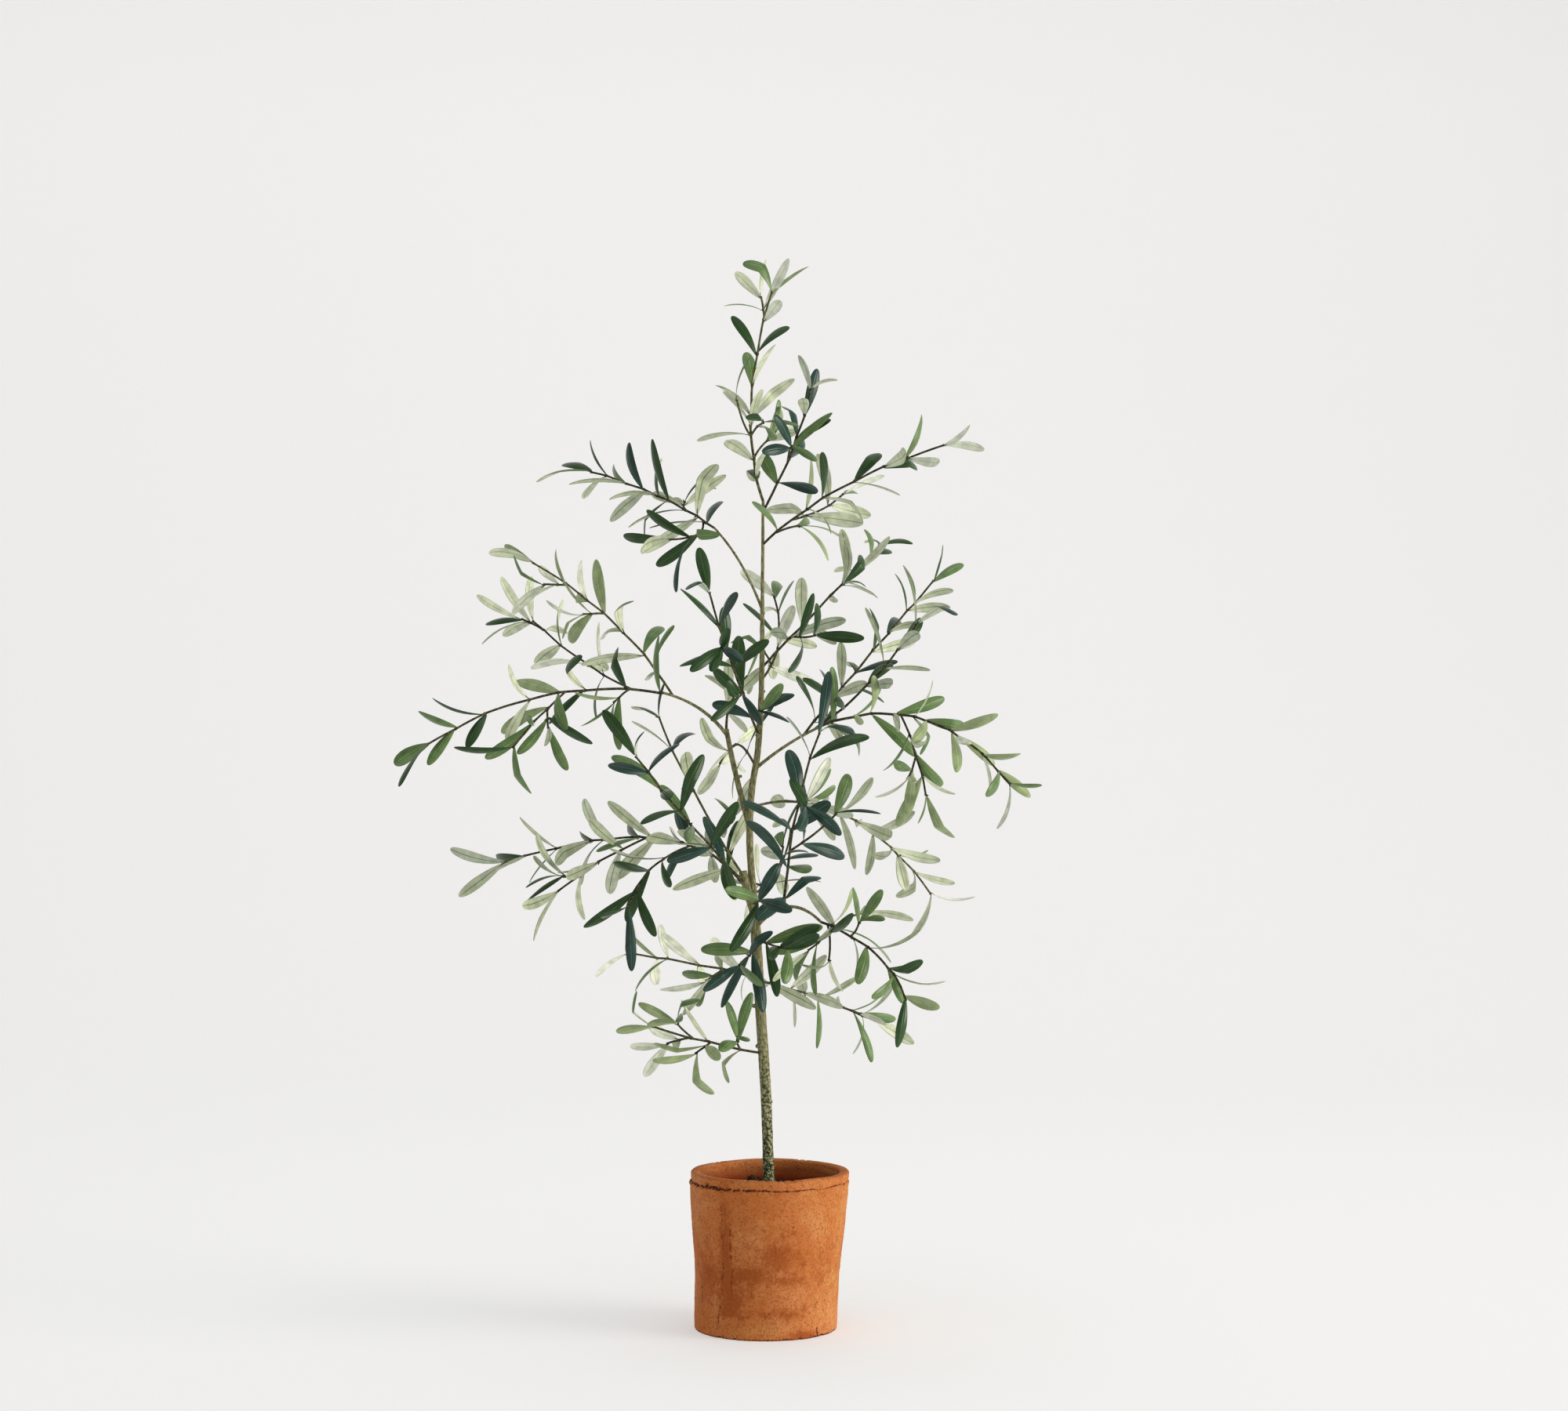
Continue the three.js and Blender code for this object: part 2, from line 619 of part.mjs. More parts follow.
// A leaf's solid: a stalk sunk to the middle of its twig, then a blade with a flat upper side and a keel.
function leafSolid(leaf) {
  const ringAt = (part, half, rise, depth) => {
    const { point, up, across } = bladeAt(leaf, part);
    return [
      point.clone().addScaledVector(across, half).addScaledVector(up, rise),
      point.clone().addScaledVector(across, -half).addScaledVector(up, rise),
      point.clone().addScaledVector(up, -depth),
    ];
  };
  const stalk = ringAt(0, STALK_WIDTH / 2, STALK_WIDTH / 4, STALK_WIDTH / 2);
  const ringOfBlade = (part) => ringAt(part, bladeWidth(leaf, part) / 2, 0, LEAF_THICKNESS);
  return skin([stalk, ...BLADE_STATIONS.map(ringOfBlade), [bladeAt(leaf, 1).point]]);
}

// The colour and finish of each kind of piece.
const terracotta = { color: 0xc4784a, roughness: 0.85, metalness: 0 };
const soilBrown = { color: 0x3a2a20, roughness: 1, metalness: 0 };
const bark = { color: 0x777459, roughness: 0.8, metalness: 0 };
const leafGreen = { color: 0x4c6b42, roughness: 0.5, metalness: 0 };

// A named mesh whose own origin is its foot.
function meshOf(name, solid, finish, foot = vec(0, 0, 0)) {
  const geometry = geometryOf(solid);
  geometry.translate(-foot.x, -foot.y, -foot.z);
  const mesh = new THREE.Mesh(geometry, new THREE.MeshStandardMaterial(finish));
  mesh.name = name;
  mesh.position.copy(foot);
  return mesh;
}

const pottedTree = new THREE.Group();
const tree = new THREE.Group();
pottedTree.add(meshOf("pot", makePot(), terracotta));
pottedTree.add(meshOf("soil", makeSoil(), soilBrown));
pottedTree.add(tree);

// The trunk and boughs, each cut clear of the limb that it stands on.
const trunk = { route: trunkRoute, length: lengthOf(trunkRoute), radiusAt: (p) => trunkRadiusAt(p.z) };
const limbs = { trunk };
const fatLimbs = { trunk: trunkSolid(CLEARANCE) };
tree.add(meshOf("trunk", trunkSolid(), bark, vec(...TRUNK_BENDS[0])));
for (const [name, spec] of Object.entries(BOUGHS)) {
  const bough = placeLimb(spec, limbs[spec.on].route, spec.radii);
  limbs[name] = bough;
  fatLimbs[name] = limbSolid(bough, BOUGH_SIDES, CLEARANCE).subtract(fatLimbs[spec.on]);
  const solid = largestBody(limbSolid(bough, BOUGH_SIDES).subtract(fatLimbs[spec.on]));
  tree.add(meshOf(name, solid, bark, bough.route.getPoint(0)));
}
for (const [name, limb] of Object.entries(limbs)) takeLimb(limb, name, name);

// All stems and side twigs of the sprays are laid before any leaf grows.
const sprays = Object.entries(SPRAYS).map(([name, spec]) => {
  const stem = placeLimb(spec, limbs[spec.on].route, [spec.radius, TWIG_TIP_RADIUS]);
  const look = { leaf: spec.leaf ?? 1, shows: spec.shows ?? "both", mayFork: true };
  const shoots = [{ ...stem, ...look, seed: spec.seed, bare: spec.bare }];
  (spec.twigs ?? []).forEach((twig, i) => {
    const side = placeLimb(twig, stem.route, [TWIG_TIP_RADIUS, TWIG_TIP_RADIUS]);
    shoots.push({ ...side, ...look, seed: spec.seed + 100 * (i + 1), bare: TWIG_BARE });
  });
  for (const shoot of shoots) takeLimb(shoot, name, name);
  return { name, on: spec.on, shoots, twigs: [...shoots], leaves: [] };
});
for (const spray of sprays) {
  for (const shoot of spray.shoots) growShoot(shoot, spray);
}
for (const spray of sprays) {
  const twigs = spray.twigs.map((twig) => limbSolid(twig, TWIG_SIDES));
  const fused = Manifold.union([...twigs, ...spray.leaves.map(leafSolid)]);
  const solid = largestBody(fused.subtract(fatLimbs[spray.on]));
  tree.add(meshOf(spray.name, solid, leafGreen, spray.shoots[0].route.getPoint(0)));
}

export default pottedTree;
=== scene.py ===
# %% [markdown]
# An artificial olive tree in a terracotta pot
#
# The tree is about 1.5 m tall: a moulded trunk with a wire core, thin wired boughs and twigs, and some
# hundreds of cloth leaves in pairs. It stands in a weathered clay pot with dark crumbs on top of its ballast.
# The frame that is loaded first holds the same tree as plain solids at its real size. Everything here is
# grown and turned in the same place, so nothing is moved or fitted afterwards.

# %% The frame
import itertools
import math
from collections import namedtuple
from dataclasses import dataclass, replace

import bpy
import numpy as np
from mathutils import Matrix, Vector, noise


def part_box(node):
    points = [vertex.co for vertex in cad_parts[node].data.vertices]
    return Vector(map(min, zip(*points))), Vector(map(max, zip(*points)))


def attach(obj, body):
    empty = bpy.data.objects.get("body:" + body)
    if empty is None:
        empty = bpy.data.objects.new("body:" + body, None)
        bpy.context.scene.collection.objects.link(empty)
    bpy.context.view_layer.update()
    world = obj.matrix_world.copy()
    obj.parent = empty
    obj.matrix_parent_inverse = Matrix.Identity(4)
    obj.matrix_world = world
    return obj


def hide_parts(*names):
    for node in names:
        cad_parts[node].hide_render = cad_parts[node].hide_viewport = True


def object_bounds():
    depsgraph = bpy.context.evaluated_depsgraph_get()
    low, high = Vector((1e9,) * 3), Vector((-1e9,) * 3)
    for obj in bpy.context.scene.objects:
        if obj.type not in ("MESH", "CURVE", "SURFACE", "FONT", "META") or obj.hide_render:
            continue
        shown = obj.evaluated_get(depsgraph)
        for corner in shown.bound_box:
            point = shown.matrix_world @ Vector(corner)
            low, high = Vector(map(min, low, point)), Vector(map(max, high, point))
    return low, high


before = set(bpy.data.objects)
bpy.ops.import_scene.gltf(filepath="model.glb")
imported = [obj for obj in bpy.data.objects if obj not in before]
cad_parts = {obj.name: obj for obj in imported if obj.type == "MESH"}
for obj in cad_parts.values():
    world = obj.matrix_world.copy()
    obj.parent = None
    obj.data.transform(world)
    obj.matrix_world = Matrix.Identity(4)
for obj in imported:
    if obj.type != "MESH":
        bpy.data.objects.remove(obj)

cad_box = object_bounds()
print("frame:", len(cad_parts), "nodes, box", [tuple(round(v, 3) for v in corner) for corner in cad_box])

# %% [markdown]
# Small helpers
#
# Sizes are written in millimetres, as a maker would measure them, and become metres only where a mesh is
# made. Chance comes from a small generator with a seed of its own for each shoot, so the tree grows the same
# way each time. A colour is written as its sRGB hex code, and one function turns it into the linear numbers
# that a shader adds up.

# %% Units, shares and colours
MM = 0.001


def share(low, high, part):
    return low + (high - low) * part


def spread(size, chance):
    return size * (2 * chance - 1)


def smooth(low, high, value):
    """0 below low, 1 above high, and an even curve between."""
    part = min(max((value - low) / (high - low), 0), 1)
    return part * part * (3 - 2 * part)


def unit(vector):
    return vector / np.linalg.norm(vector)


def linear(code):
    """The linear colour of an sRGB hex code such as #C4784A."""
    parts = [int(code[i : i + 2], 16) / 255 for i in (1, 3, 5)]
    return [p / 12.92 if p <= 0.04045 else ((p + 0.055) / 1.055) ** 2.4 for p in parts] + [1]


# %% [markdown]
# Nodes from code
#
# Shaders and Geometry Nodes are both trees of nodes, so one function can add any of them. It takes the
# node's settings by name, and for each input a plain value, or the output of another node to link to it.

# %% One function that adds a node
def socket_of(sockets, key):
    if isinstance(key, int):
        return sockets[key]
    named = [s for s in sockets if key in (s.identifier, s.name)]
    shown = [s for s in named if s.enabled]
    return (shown or named)[0]


def add(tree, kind, inputs=None, stops=None, **settings):
    """Adds a node to a tree. `inputs` maps sockets to values or outputs, and `stops` fills a colour ramp."""
    node = tree.nodes.new(kind)
    for name, value in settings.items():
        setattr(node, name, value)
    for key, value in (inputs or {}).items():
        socket = socket_of(node.inputs, key)
        if isinstance(value, bpy.types.NodeSocket):
            tree.links.new(value, socket)
        else:
            socket.default_value = value
    if stops:
        ramp = node.color_ramp.elements
        while len(ramp) < len(stops):
            ramp.new(1)
        for element, (place, code) in zip(ramp, stops):
            element.position = place
            element.color = linear(code)
    return node


# %% [markdown]
# Finishes in layers
#
# A weathered finish is built up as a painter would build it: a ground colour, then one thin layer over
# another, each only where a pattern lets it through. The patterns are noise in the piece's own space, with
# the width of their lumps given in millimetres, so that each one can be checked against the real stuff.

# %% A material, its patterns and its layers
def new_material(name, colour_code, roughness, **sockets):
    """A material with one Principled shader. Returns it with its tree and its shader node."""
    material = bpy.data.materials.new(name)
    material.use_nodes = True
    material.diffuse_color = linear(colour_code)
    tree = material.node_tree
    shader = tree.nodes["Principled BSDF"]
    shader.inputs["Base Color"].default_value = linear(colour_code)
    shader.inputs["Roughness"].default_value = roughness
    for key, value in sockets.items():
        shader.inputs[key.replace("_", " ")].default_value = value
    return material, tree, shader


def grain(tree, where, size, detail=4.0, roughness=0.55, stretch=(1, 1, 1)):
    """Noise whose lumps are `size` millimetres wide, stretched along the axes."""
    scaled = add(tree, "ShaderNodeVectorMath", {0: where, 1: stretch}, operation="MULTIPLY")
    inputs = {"Vector": scaled.outputs[0], "Scale": 1 / (size * MM), "Detail": detail, "Roughness": roughness}
    return add(tree, "ShaderNodeTexNoise", inputs).outputs["Fac"]


def lay_over(tree, under, over, pattern, low=0.0, high=1.0, most=1.0, curve="SMOOTHSTEP"):
    """Lays a colour over another where a pattern passes from low to high, and covers a share `most` of it.

    A colour is a hex code or an output, and `most` is a number or an output.
    """
    limits = {"Value": pattern, "From Min": low, "From Max": high, "To Max": most}
    inputs = {"Factor_Float": add(tree, "ShaderNodeMapRange", limits, interpolation_type=curve).outputs[0]}
    for key, colour in (("A_Color", under), ("B_Color", over)):
        inputs[key] = linear(colour) if isinstance(colour, str) else colour
    return socket_of(add(tree, "ShaderNodeMix", inputs, data_type="RGBA").outputs, "Result_Color")


def finish_shader(tree, shader, colour, height, depth, strength):
    """Gives a shader its colour, and a fine relief `depth` millimetres deep from a height of 0 to 1."""
    tree.links.new(colour, shader.inputs["Base Color"])
    relief = add(tree, "ShaderNodeBump", {"Height": height, "Distance": depth * MM, "Strength": strength})
    tree.links.new(relief.outputs[0], shader.inputs["Normal"])


# %% [markdown]
# Camera and studio
#
# The photograph was taken level, from far back with a long lens, so upright things stay upright. The camera
# stands 4.4 m in front of the tree, a little under 0.9 m up. The sweep is one sheet of matt white paper that
# curves up behind the tree, so no line shows where the floor ends. A large soft light stands low on the
# right, a little in front, and another hangs overhead. A real studio is wider, and its far walls send light
# back. Here the paper itself glows faintly in their place, most at the floor and a little more on the left,
# and the room round it has pale walls and a dim ceiling.

# %% Camera
CAMERA_PLACE = (25.8, -4400, 888)
LENS = 70.7
SENSOR = 36

camera = bpy.data.objects.new("camera", bpy.data.cameras.new("camera"))
camera.data.lens = LENS
camera.data.sensor_width = SENSOR
camera.data.sensor_fit = "HORIZONTAL"
camera.location = [v * MM for v in CAMERA_PLACE]
camera.rotation_euler = (math.pi / 2, 0, 0)
bpy.context.scene.collection.objects.link(camera)
bpy.context.scene.camera = camera
bpy.context.scene.view_settings.view_transform = "Standard"
print("camera: ", CAMERA_PLACE, "mm, lens", LENS, "mm")

# %% Paper sweep
SWEEP_HALF_WIDTH = 9000
SWEEP_FRONT = -7000
SWEEP_BEND = 2600
SWEEP_RADIUS = 2800
SWEEP_TOP = 7000
SWEEP_TURNS = range(5, 91, 5)


def make_mesh(name, places, faces, material):
    """A smooth object at the origin from places in millimetres."""
    mesh = bpy.data.meshes.new(name)
    mesh.from_pydata((np.asarray(places, float) * MM).tolist(), [], faces)
    mesh.materials.append(material)
    mesh.polygons.foreach_set("use_smooth", [True] * len(mesh.polygons))
    made = bpy.data.objects.new(name, mesh)
    bpy.context.scene.collection.objects.link(made)
    return made


def sweep_outline():
    outline = [(SWEEP_FRONT, 0), (SWEEP_BEND, 0)]
    for degrees in SWEEP_TURNS:
        turn = math.radians(degrees)
        outline.append((SWEEP_BEND + SWEEP_RADIUS * math.sin(turn), SWEEP_RADIUS * (1 - math.cos(turn))))
    return outline + [(SWEEP_BEND + SWEEP_RADIUS, SWEEP_TOP)]


# %% Paper
PAPER_WHITE = "#D4D4D3"

# The glow falls from the floor to a height, and from one side to the other by a little each way.
FLOOR_GLOW = 0.351
TOP_GLOW = 0.276
GLOW_HEIGHT = 3100
SIDE_GLOW = 0.012
SIDE_REACH = 3000


def matt_paper():
    """Uncoated paper. It has no gloss, so nothing shows on it but soft shadow."""
    white = linear("#FFFFFF")
    material, tree, shader = new_material("matt_white_paper", PAPER_WHITE, 0.9, Emission_Color=white)
    axes = add(tree, "ShaderNodeSeparateXYZ", {0: add(tree, "ShaderNodeTexCoord").outputs["Object"]})
    upwards = {"Value": axes.outputs["Z"], "From Max": GLOW_HEIGHT * MM}
    upwards |= {"To Min": FLOOR_GLOW, "To Max": TOP_GLOW}
    glow = add(tree, "ShaderNodeMapRange", upwards).outputs[0]
    sideways = {"Value": axes.outputs["X"], "From Min": -SIDE_REACH * MM, "From Max": SIDE_REACH * MM}
    sideways |= {"To Min": SIDE_GLOW, "To Max": -SIDE_GLOW}
    more = add(tree, "ShaderNodeMapRange", sideways).outputs[0]
    glow = add(tree, "ShaderNodeMath", {0: glow, 1: more}, operation="ADD").outputs[0]
    tree.links.new(glow, shader.inputs["Emission Strength"])
    return material


outline = sweep_outline()
places = [(side * SWEEP_HALF_WIDTH, y, z) for y, z in outline for side in (-1, 1)]
faces = [(2 * i, 2 * i + 1, 2 * i + 3, 2 * i + 2) for i in range(len(outline) - 1)]
sweep = make_mesh("paper_sweep", places, faces, matt_paper())
print("sweep:", len(faces), "faces")

# %% Lights
# Each light is a glowing rectangle at a place, turned to face `aim`, whose rays spread by some degrees.
LIGHTS = {
    "key_light": dict(
        place=(10000, -2800, 2200), aim=(0, 0, 450), size=(6800, 4600), watts=212, colour="#FFF8F0", spread=80
    ),
    "top_light": dict(
        place=(0, -500, 5000), aim=(0, 0, 0), size=(5000, 5000), watts=78, colour="#FFFFFF", spread=180
    ),
}


def area_light(name, spec):
    lamp = bpy.data.lights.new(name, "AREA")
    lamp.shape = "RECTANGLE"
    lamp.size, lamp.size_y = [s * MM for s in spec["size"]]
    lamp.energy = spec["watts"]
    lamp.color = linear(spec["colour"])[:3]
    lamp.spread = math.radians(spec["spread"])
    made = bpy.data.objects.new(name, lamp)
    made.location = [v * MM for v in spec["place"]]
    towards = Vector(spec["aim"]) - Vector(spec["place"])
    made.rotation_euler = towards.to_track_quat("-Z", "Y").to_euler()
    bpy.context.scene.collection.objects.link(made)


for name, spec in LIGHTS.items():
    area_light(name, spec)
print("lights:", ", ".join(LIGHTS))

# %% The room
# The walls end and the ceiling starts at these heights, given as the sine of the angle above the horizon.
WALL_TOP = 0.1
CEILING_EDGE = 0.35
WALL_GLOW = 0.84
CEILING_GLOW = 0.3

world = bpy.data.worlds.new("studio_room")
world.use_nodes = True
tree = world.node_tree
towards = add(tree, "ShaderNodeSeparateXYZ", {0: add(tree, "ShaderNodeTexCoord").outputs["Object"]})
inputs = {"Value": towards.outputs["Z"], "From Min": WALL_TOP, "From Max": CEILING_EDGE}
inputs |= {"To Min": WALL_GLOW, "To Max": CEILING_GLOW}
glow = add(tree, "ShaderNodeMapRange", inputs, interpolation_type="SMOOTHSTEP").outputs[0]
tree.nodes["Background"].inputs["Color"].default_value = linear("#FFFFFF")
tree.links.new(glow, tree.nodes["Background"].inputs["Strength"])
bpy.context.scene.world = world
print("room: walls glow", WALL_GLOW, "and the ceiling", CEILING_GLOW)

# %% [markdown]
# Fired clay
#
# Terracotta is a coarse iron-rich clay, fired without a glaze, so it is matt all over and no lamp shows in
# it. Its orange turns pale where dust lies, ochre where lime has bloomed, and rust red where damp and
# handling have stained it. Pale clouds are 70 mm wide, stains break up into blotches of 11 mm, and the bloom
# into powder of 9 mm. Real grit and pores are under a millimetre, too fine to show from here, so they are
# drawn 2 to 4 mm wide. Noise can't know where the mould's old seam runs. So the mesh carries four numbers of
# its own, worked out with its relief: how much painted shade a point gets in a crack, a pit, the collar's
# groove and at the foot, how stained it is, how ochre, and how far down inside the pot, where the bore is
# darkened to a deep red as painted shade.

# %% Terracotta
CLAY_ORANGE = "#B9672E"
CLAY_PALE = "#C67F49"
CLAY_RUST = "#9A4A17"
CLAY_OCHRE = "#C69553"
# Painted shade: the bore turns this deep red further down inside the pot.
CLAY_BORE_SHADE = "#8B2D07"
# Painted shade: the dark brown laid into cracks, pits, grooves and the foot's edge.
CLAY_CRACK_SHADE = "#5A260F"
CLAY_GRIT = "#87461C"
# `crack` is painted shade in cracks, pits, grooves, the line under the rim and at the foot, and `inside` is
# painted shade deep in the bore.
MARKS = ("crack", "stain", "ochre", "inside")
CLOUD_WIDTH = 70
BLOTCH_WIDTH = 11
POWDER_WIDTH = 9
DUST_WIDTH = 4.2
GRIT_WIDTH = 3.4
FRAY_WIDTH = 2.6
PORE_WIDTH = 1.8


def frayed(tree, mark, pattern, weight):
    """A mark whose edges are worn away by a pattern."""
    return add(tree, "ShaderNodeMath", {0: pattern, 1: weight, 2: mark}, operation="MULTIPLY_ADD").outputs[0]


def terracotta():
    material, tree, shader = new_material("fired_terracotta", CLAY_ORANGE, 0.9, Specular_IOR_Level=0.25)
    where = add(tree, "ShaderNodeTexCoord").outputs["Object"]
    marks = {name: add(tree, "ShaderNodeAttribute", attribute_name=name).outputs["Fac"] for name in MARKS}
    clouds = grain(tree, where, CLOUD_WIDTH, detail=5, roughness=0.6)
    colour = lay_over(tree, CLAY_ORANGE, CLAY_PALE, clouds, 0.35, 0.68)
    powder = grain(tree, where, POWDER_WIDTH, detail=6, roughness=0.7)
    colour = lay_over(tree, colour, CLAY_OCHRE, powder, 0.3, 0.75, marks["ochre"])
    stain = frayed(tree, marks["stain"], grain(tree, where, BLOTCH_WIDTH, detail=6, roughness=0.7), 1.3)
    stain = frayed(tree, stain, grain(tree, where, FRAY_WIDTH, detail=6, roughness=0.8), 1.9)
    colour = lay_over(tree, colour, CLAY_RUST, stain, 1.55, 2.4, 0.95)
    dust = grain(tree, where, DUST_WIDTH, detail=6, roughness=0.8)
    colour = lay_over(tree, colour, CLAY_OCHRE, dust, 0.52, 0.7, 0.3)
    grit = grain(tree, where, GRIT_WIDTH, detail=4, roughness=0.75)
    colour = lay_over(tree, colour, CLAY_GRIT, grit, 0.48, 0.4, 0.65)
    # Painted shade: the bore darkens further down inside the pot.
    colour = lay_over(tree, colour, CLAY_BORE_SHADE, marks["inside"], curve="LINEAR")
    # Painted shade: cracks, pits, grooves and the foot's edge are darkened.
    crack = frayed(tree, marks["crack"], grain(tree, where, FRAY_WIDTH, detail=5, roughness=0.8), 1.4)
    colour = lay_over(tree, colour, CLAY_CRACK_SHADE, crack, 1.02, 1.4)
    pores = grain(tree, where, PORE_WIDTH, detail=6, roughness=0.75)
    finish_shader(tree, shader, colour, pores, depth=0.5, strength=0.8)
    return material


clay = terracotta()
print("clay:", len(clay.node_tree.nodes), "nodes")

# %% [markdown]
# The pot
#
# The pot is a straight-sided cone of clay with a plain collar, finished by hand, so it has a faint waist,
# lumps that a palm would feel, and a ragged line where the collar was pressed on. A lathe alone would be too
# perfect. The profile is turned as on a wheel, with a point every 2 mm and every 0.9 mm near the collar's
# join, and each point is then pushed in or out by the relief that belongs to its height and its side.

# %% Pot sizes
POT_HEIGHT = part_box("pot")[1].z / MM
POT_RIM_RADIUS = 114
POT_FOOT_RADIUS = 102
POT_LEAN = 5.6
POT_WALL = 14
POT_FLOOR = 16
RIM_ROUND = 4
SKIN_RADIUS = 109


def pot_radius(height):
    return share(POT_FOOT_RADIUS, POT_RIM_RADIUS, height / POT_HEIGHT)


def bore_radius(height):
    return pot_radius(height) - POT_WALL


def hill(value, middle, width):
    """1 at the middle, falling evenly to almost 0 at twice the width."""
    return math.exp(-(((value - middle) / width) ** 2))


def lumps(at, *layers):
    """Smooth noise in layers, each so high and so wide in millimetres."""
    return sum(height * noise.noise(at / width) for height, width in layers)


print("pot:", round(POT_HEIGHT), "mm tall and", 2 * POT_RIM_RADIUS, "mm wide")

# %% Cracks and stains
# Cracks run through places given as (degrees round the pot, height), with a width, a depth and how dark
# they are painted, as shade in them. The first two are the mould's seam.
CRACKS = [
    dict(
        path=[(233, 190), (233.5, 150), (233, 100), (230.5, 45), (228.5, 14)], width=2.4, depth=1.4, dark=0.56
    ),
    dict(path=[(241, 186), (240.5, 130), (241.5, 97), (241, 62)], width=2.2, depth=0.9, dark=0.56),
    dict(path=[(241.5, 99), (242, 97)], width=1.6, depth=1.0, dark=0.9),
    dict(path=[(218, 216), (222, 211), (226.5, 213.5), (230, 210.5)], width=1.3, depth=0.8, dark=0.8),
    dict(path=[(207.5, 68), (208.6, 56), (208, 45)], width=1.5, depth=0.9, dark=0.7),
    dict(path=[(315, 13), (316.5, 0)], width=2, depth=1.8, dark=0.9),
]

# Stains and pale places lie at (degrees round the pot, height), and spread so far round it and up it.
STAINS = [
    dict(at=(279, 122), spread=(11, 19), strength=0.7),
    dict(at=(242, 56), spread=(10, 24), strength=0.85),
    dict(at=(324, 112), spread=(9, 24), strength=0.25),
    dict(at=(256, 92), spread=(13, 9), strength=0.75),
    dict(at=(287, 84), spread=(24, 6), strength=0.4),
    dict(at=(286, 36), spread=(18, 9), strength=0.6),
    dict(at=(300, 6), spread=(13, 6), strength=0.8),
    dict(at=(237, 130), spread=(4.5, 65), strength=0.75),
    dict(at=(216, 80), spread=(15, 45), strength=0.5),
    dict(at=(268, 100), spread=(60, 55), strength=0.25),
    dict(at=(60, 70), spread=(30, 35), strength=0.7),
    dict(at=(150, 120), spread=(25, 40), strength=0.6),
    dict(at=(20, 100), spread=(26, 30), strength=0.5),
]
PALE_PLACES = [
    dict(at=(337, 66), spread=(26, 54), strength=0.9),
    dict(at=(262, 12), spread=(24, 13), strength=0.7),
    dict(at=(222, 28), spread=(9, 18), strength=0.25),
    dict(at=(345, 180), spread=(42, 50), strength=0.75),
    dict(at=(100, 30), spread=(40, 25), strength=0.6),
]

CRACK_WANDER = ((1.4, 7), (0.9, 2.5))
CRACK_BREAKS = 5
STAIN_FRAY = ((0.5, 14), (0.3, 5))


def crack_mark(crack, around, height, at):
    """0 to 1, and 1 in the middle of a crack. The crack wanders a little and is broken in places."""
    place = Vector((around + lumps(at, *CRACK_WANDER), height))
    places = [Vector((math.radians(turn) * SKIN_RADIUS, level)) for turn, level in crack["path"]]
    nearest = math.inf
    for foot, tip in zip(places, places[1:]):
        run = tip - foot
        part = min(max((place - foot).dot(run) / run.length_squared, 0), 1)
        nearest = min(nearest, (place - foot - run * part).length)
    if nearest > 3 * crack["width"]:
        return 0
    unbroken = smooth(-0.7, -0.1, noise.noise(at / CRACK_BREAKS + Vector((3, 1, 7))))
    return hill(nearest, 0, crack["width"]) * unbroken


def mark_of(places, turn, height, at):
    """How strongly a place is marked, from 0 to 1. The edges are frayed by noise."""
    degrees = math.degrees(turn)
    fray = 1 + lumps(at, *STAIN_FRAY)
    total = 0
    for spot in places:
        away = (degrees - spot["at"][0] + 180) % 360 - 180
        size = math.hypot(away / spot["spread"][0], (height - spot["at"][1]) / spot["spread"][1])
        total += spot["strength"] * math.exp(-((size * fray) ** 2))
    return min(total, 1)


print("clay marks:", len(CRACKS), "cracks,", len(STAINS), "stains,", len(PALE_PLACES), "pale places")

# %% Relief of the outside
WAIST_DEPTH = 3.0
WAIST_HEIGHT = 82
WAIST_SPREAD = 52
WOBBLE = 1.2
PALM_MARKS = ((0.5, 22), (0.25, 5), (0.25, 2.6))
RING_DEPTH = 0.25
RING_HEIGHT = 4
RIDGE_HEIGHT = 88
RIDGE_WANDER = (2, 60)
RIDGE_WIDTH = 2
RIDGE_DEPTH = 0.5
PIT_WIDTH = 3
PIT_DEPTH = 0.6
COLLAR_HEIGHT = 14
COLLAR_STEP = 1.4
GROOVE_SIZE = (1.3, 2.1)
BEAD_SIZE = (0.7, 1.9)
BEAD_BELOW = 3.2
BEAD_WIDTH = 2.2
CHIP_HEIGHT = 6.0
CHIP_DEPTH = 2.2
FOOT_WEAR = 0.6


def wall_relief(height, round_x, round_y, at):
    """A waist, an uneven round, palm marks, the rings of the wheel, a ridge on one side, and pits darkened as
    painted shade.
    """
    out = -WAIST_DEPTH * hill(height, WAIST_HEIGHT, WAIST_SPREAD)
    out += WOBBLE * noise.noise(Vector((round_x, round_y, height / 110)) * 1.4)
    out += lumps(at, *PALM_MARKS)
    out += RING_DEPTH * noise.noise(Vector((round_x, round_y, height / RING_HEIGHT)))
    ridge = hill(height, RIDGE_HEIGHT + lumps(at, RIDGE_WANDER), RIDGE_WIDTH)
    out += RIDGE_DEPTH * ridge * smooth(-0.3, 0.2, round_x)
    pit = smooth(0.5, 0.68, noise.noise(at / PIT_WIDTH + Vector((7, 3, 1))))
    return out - PIT_DEPTH * pit, 0.7 * pit


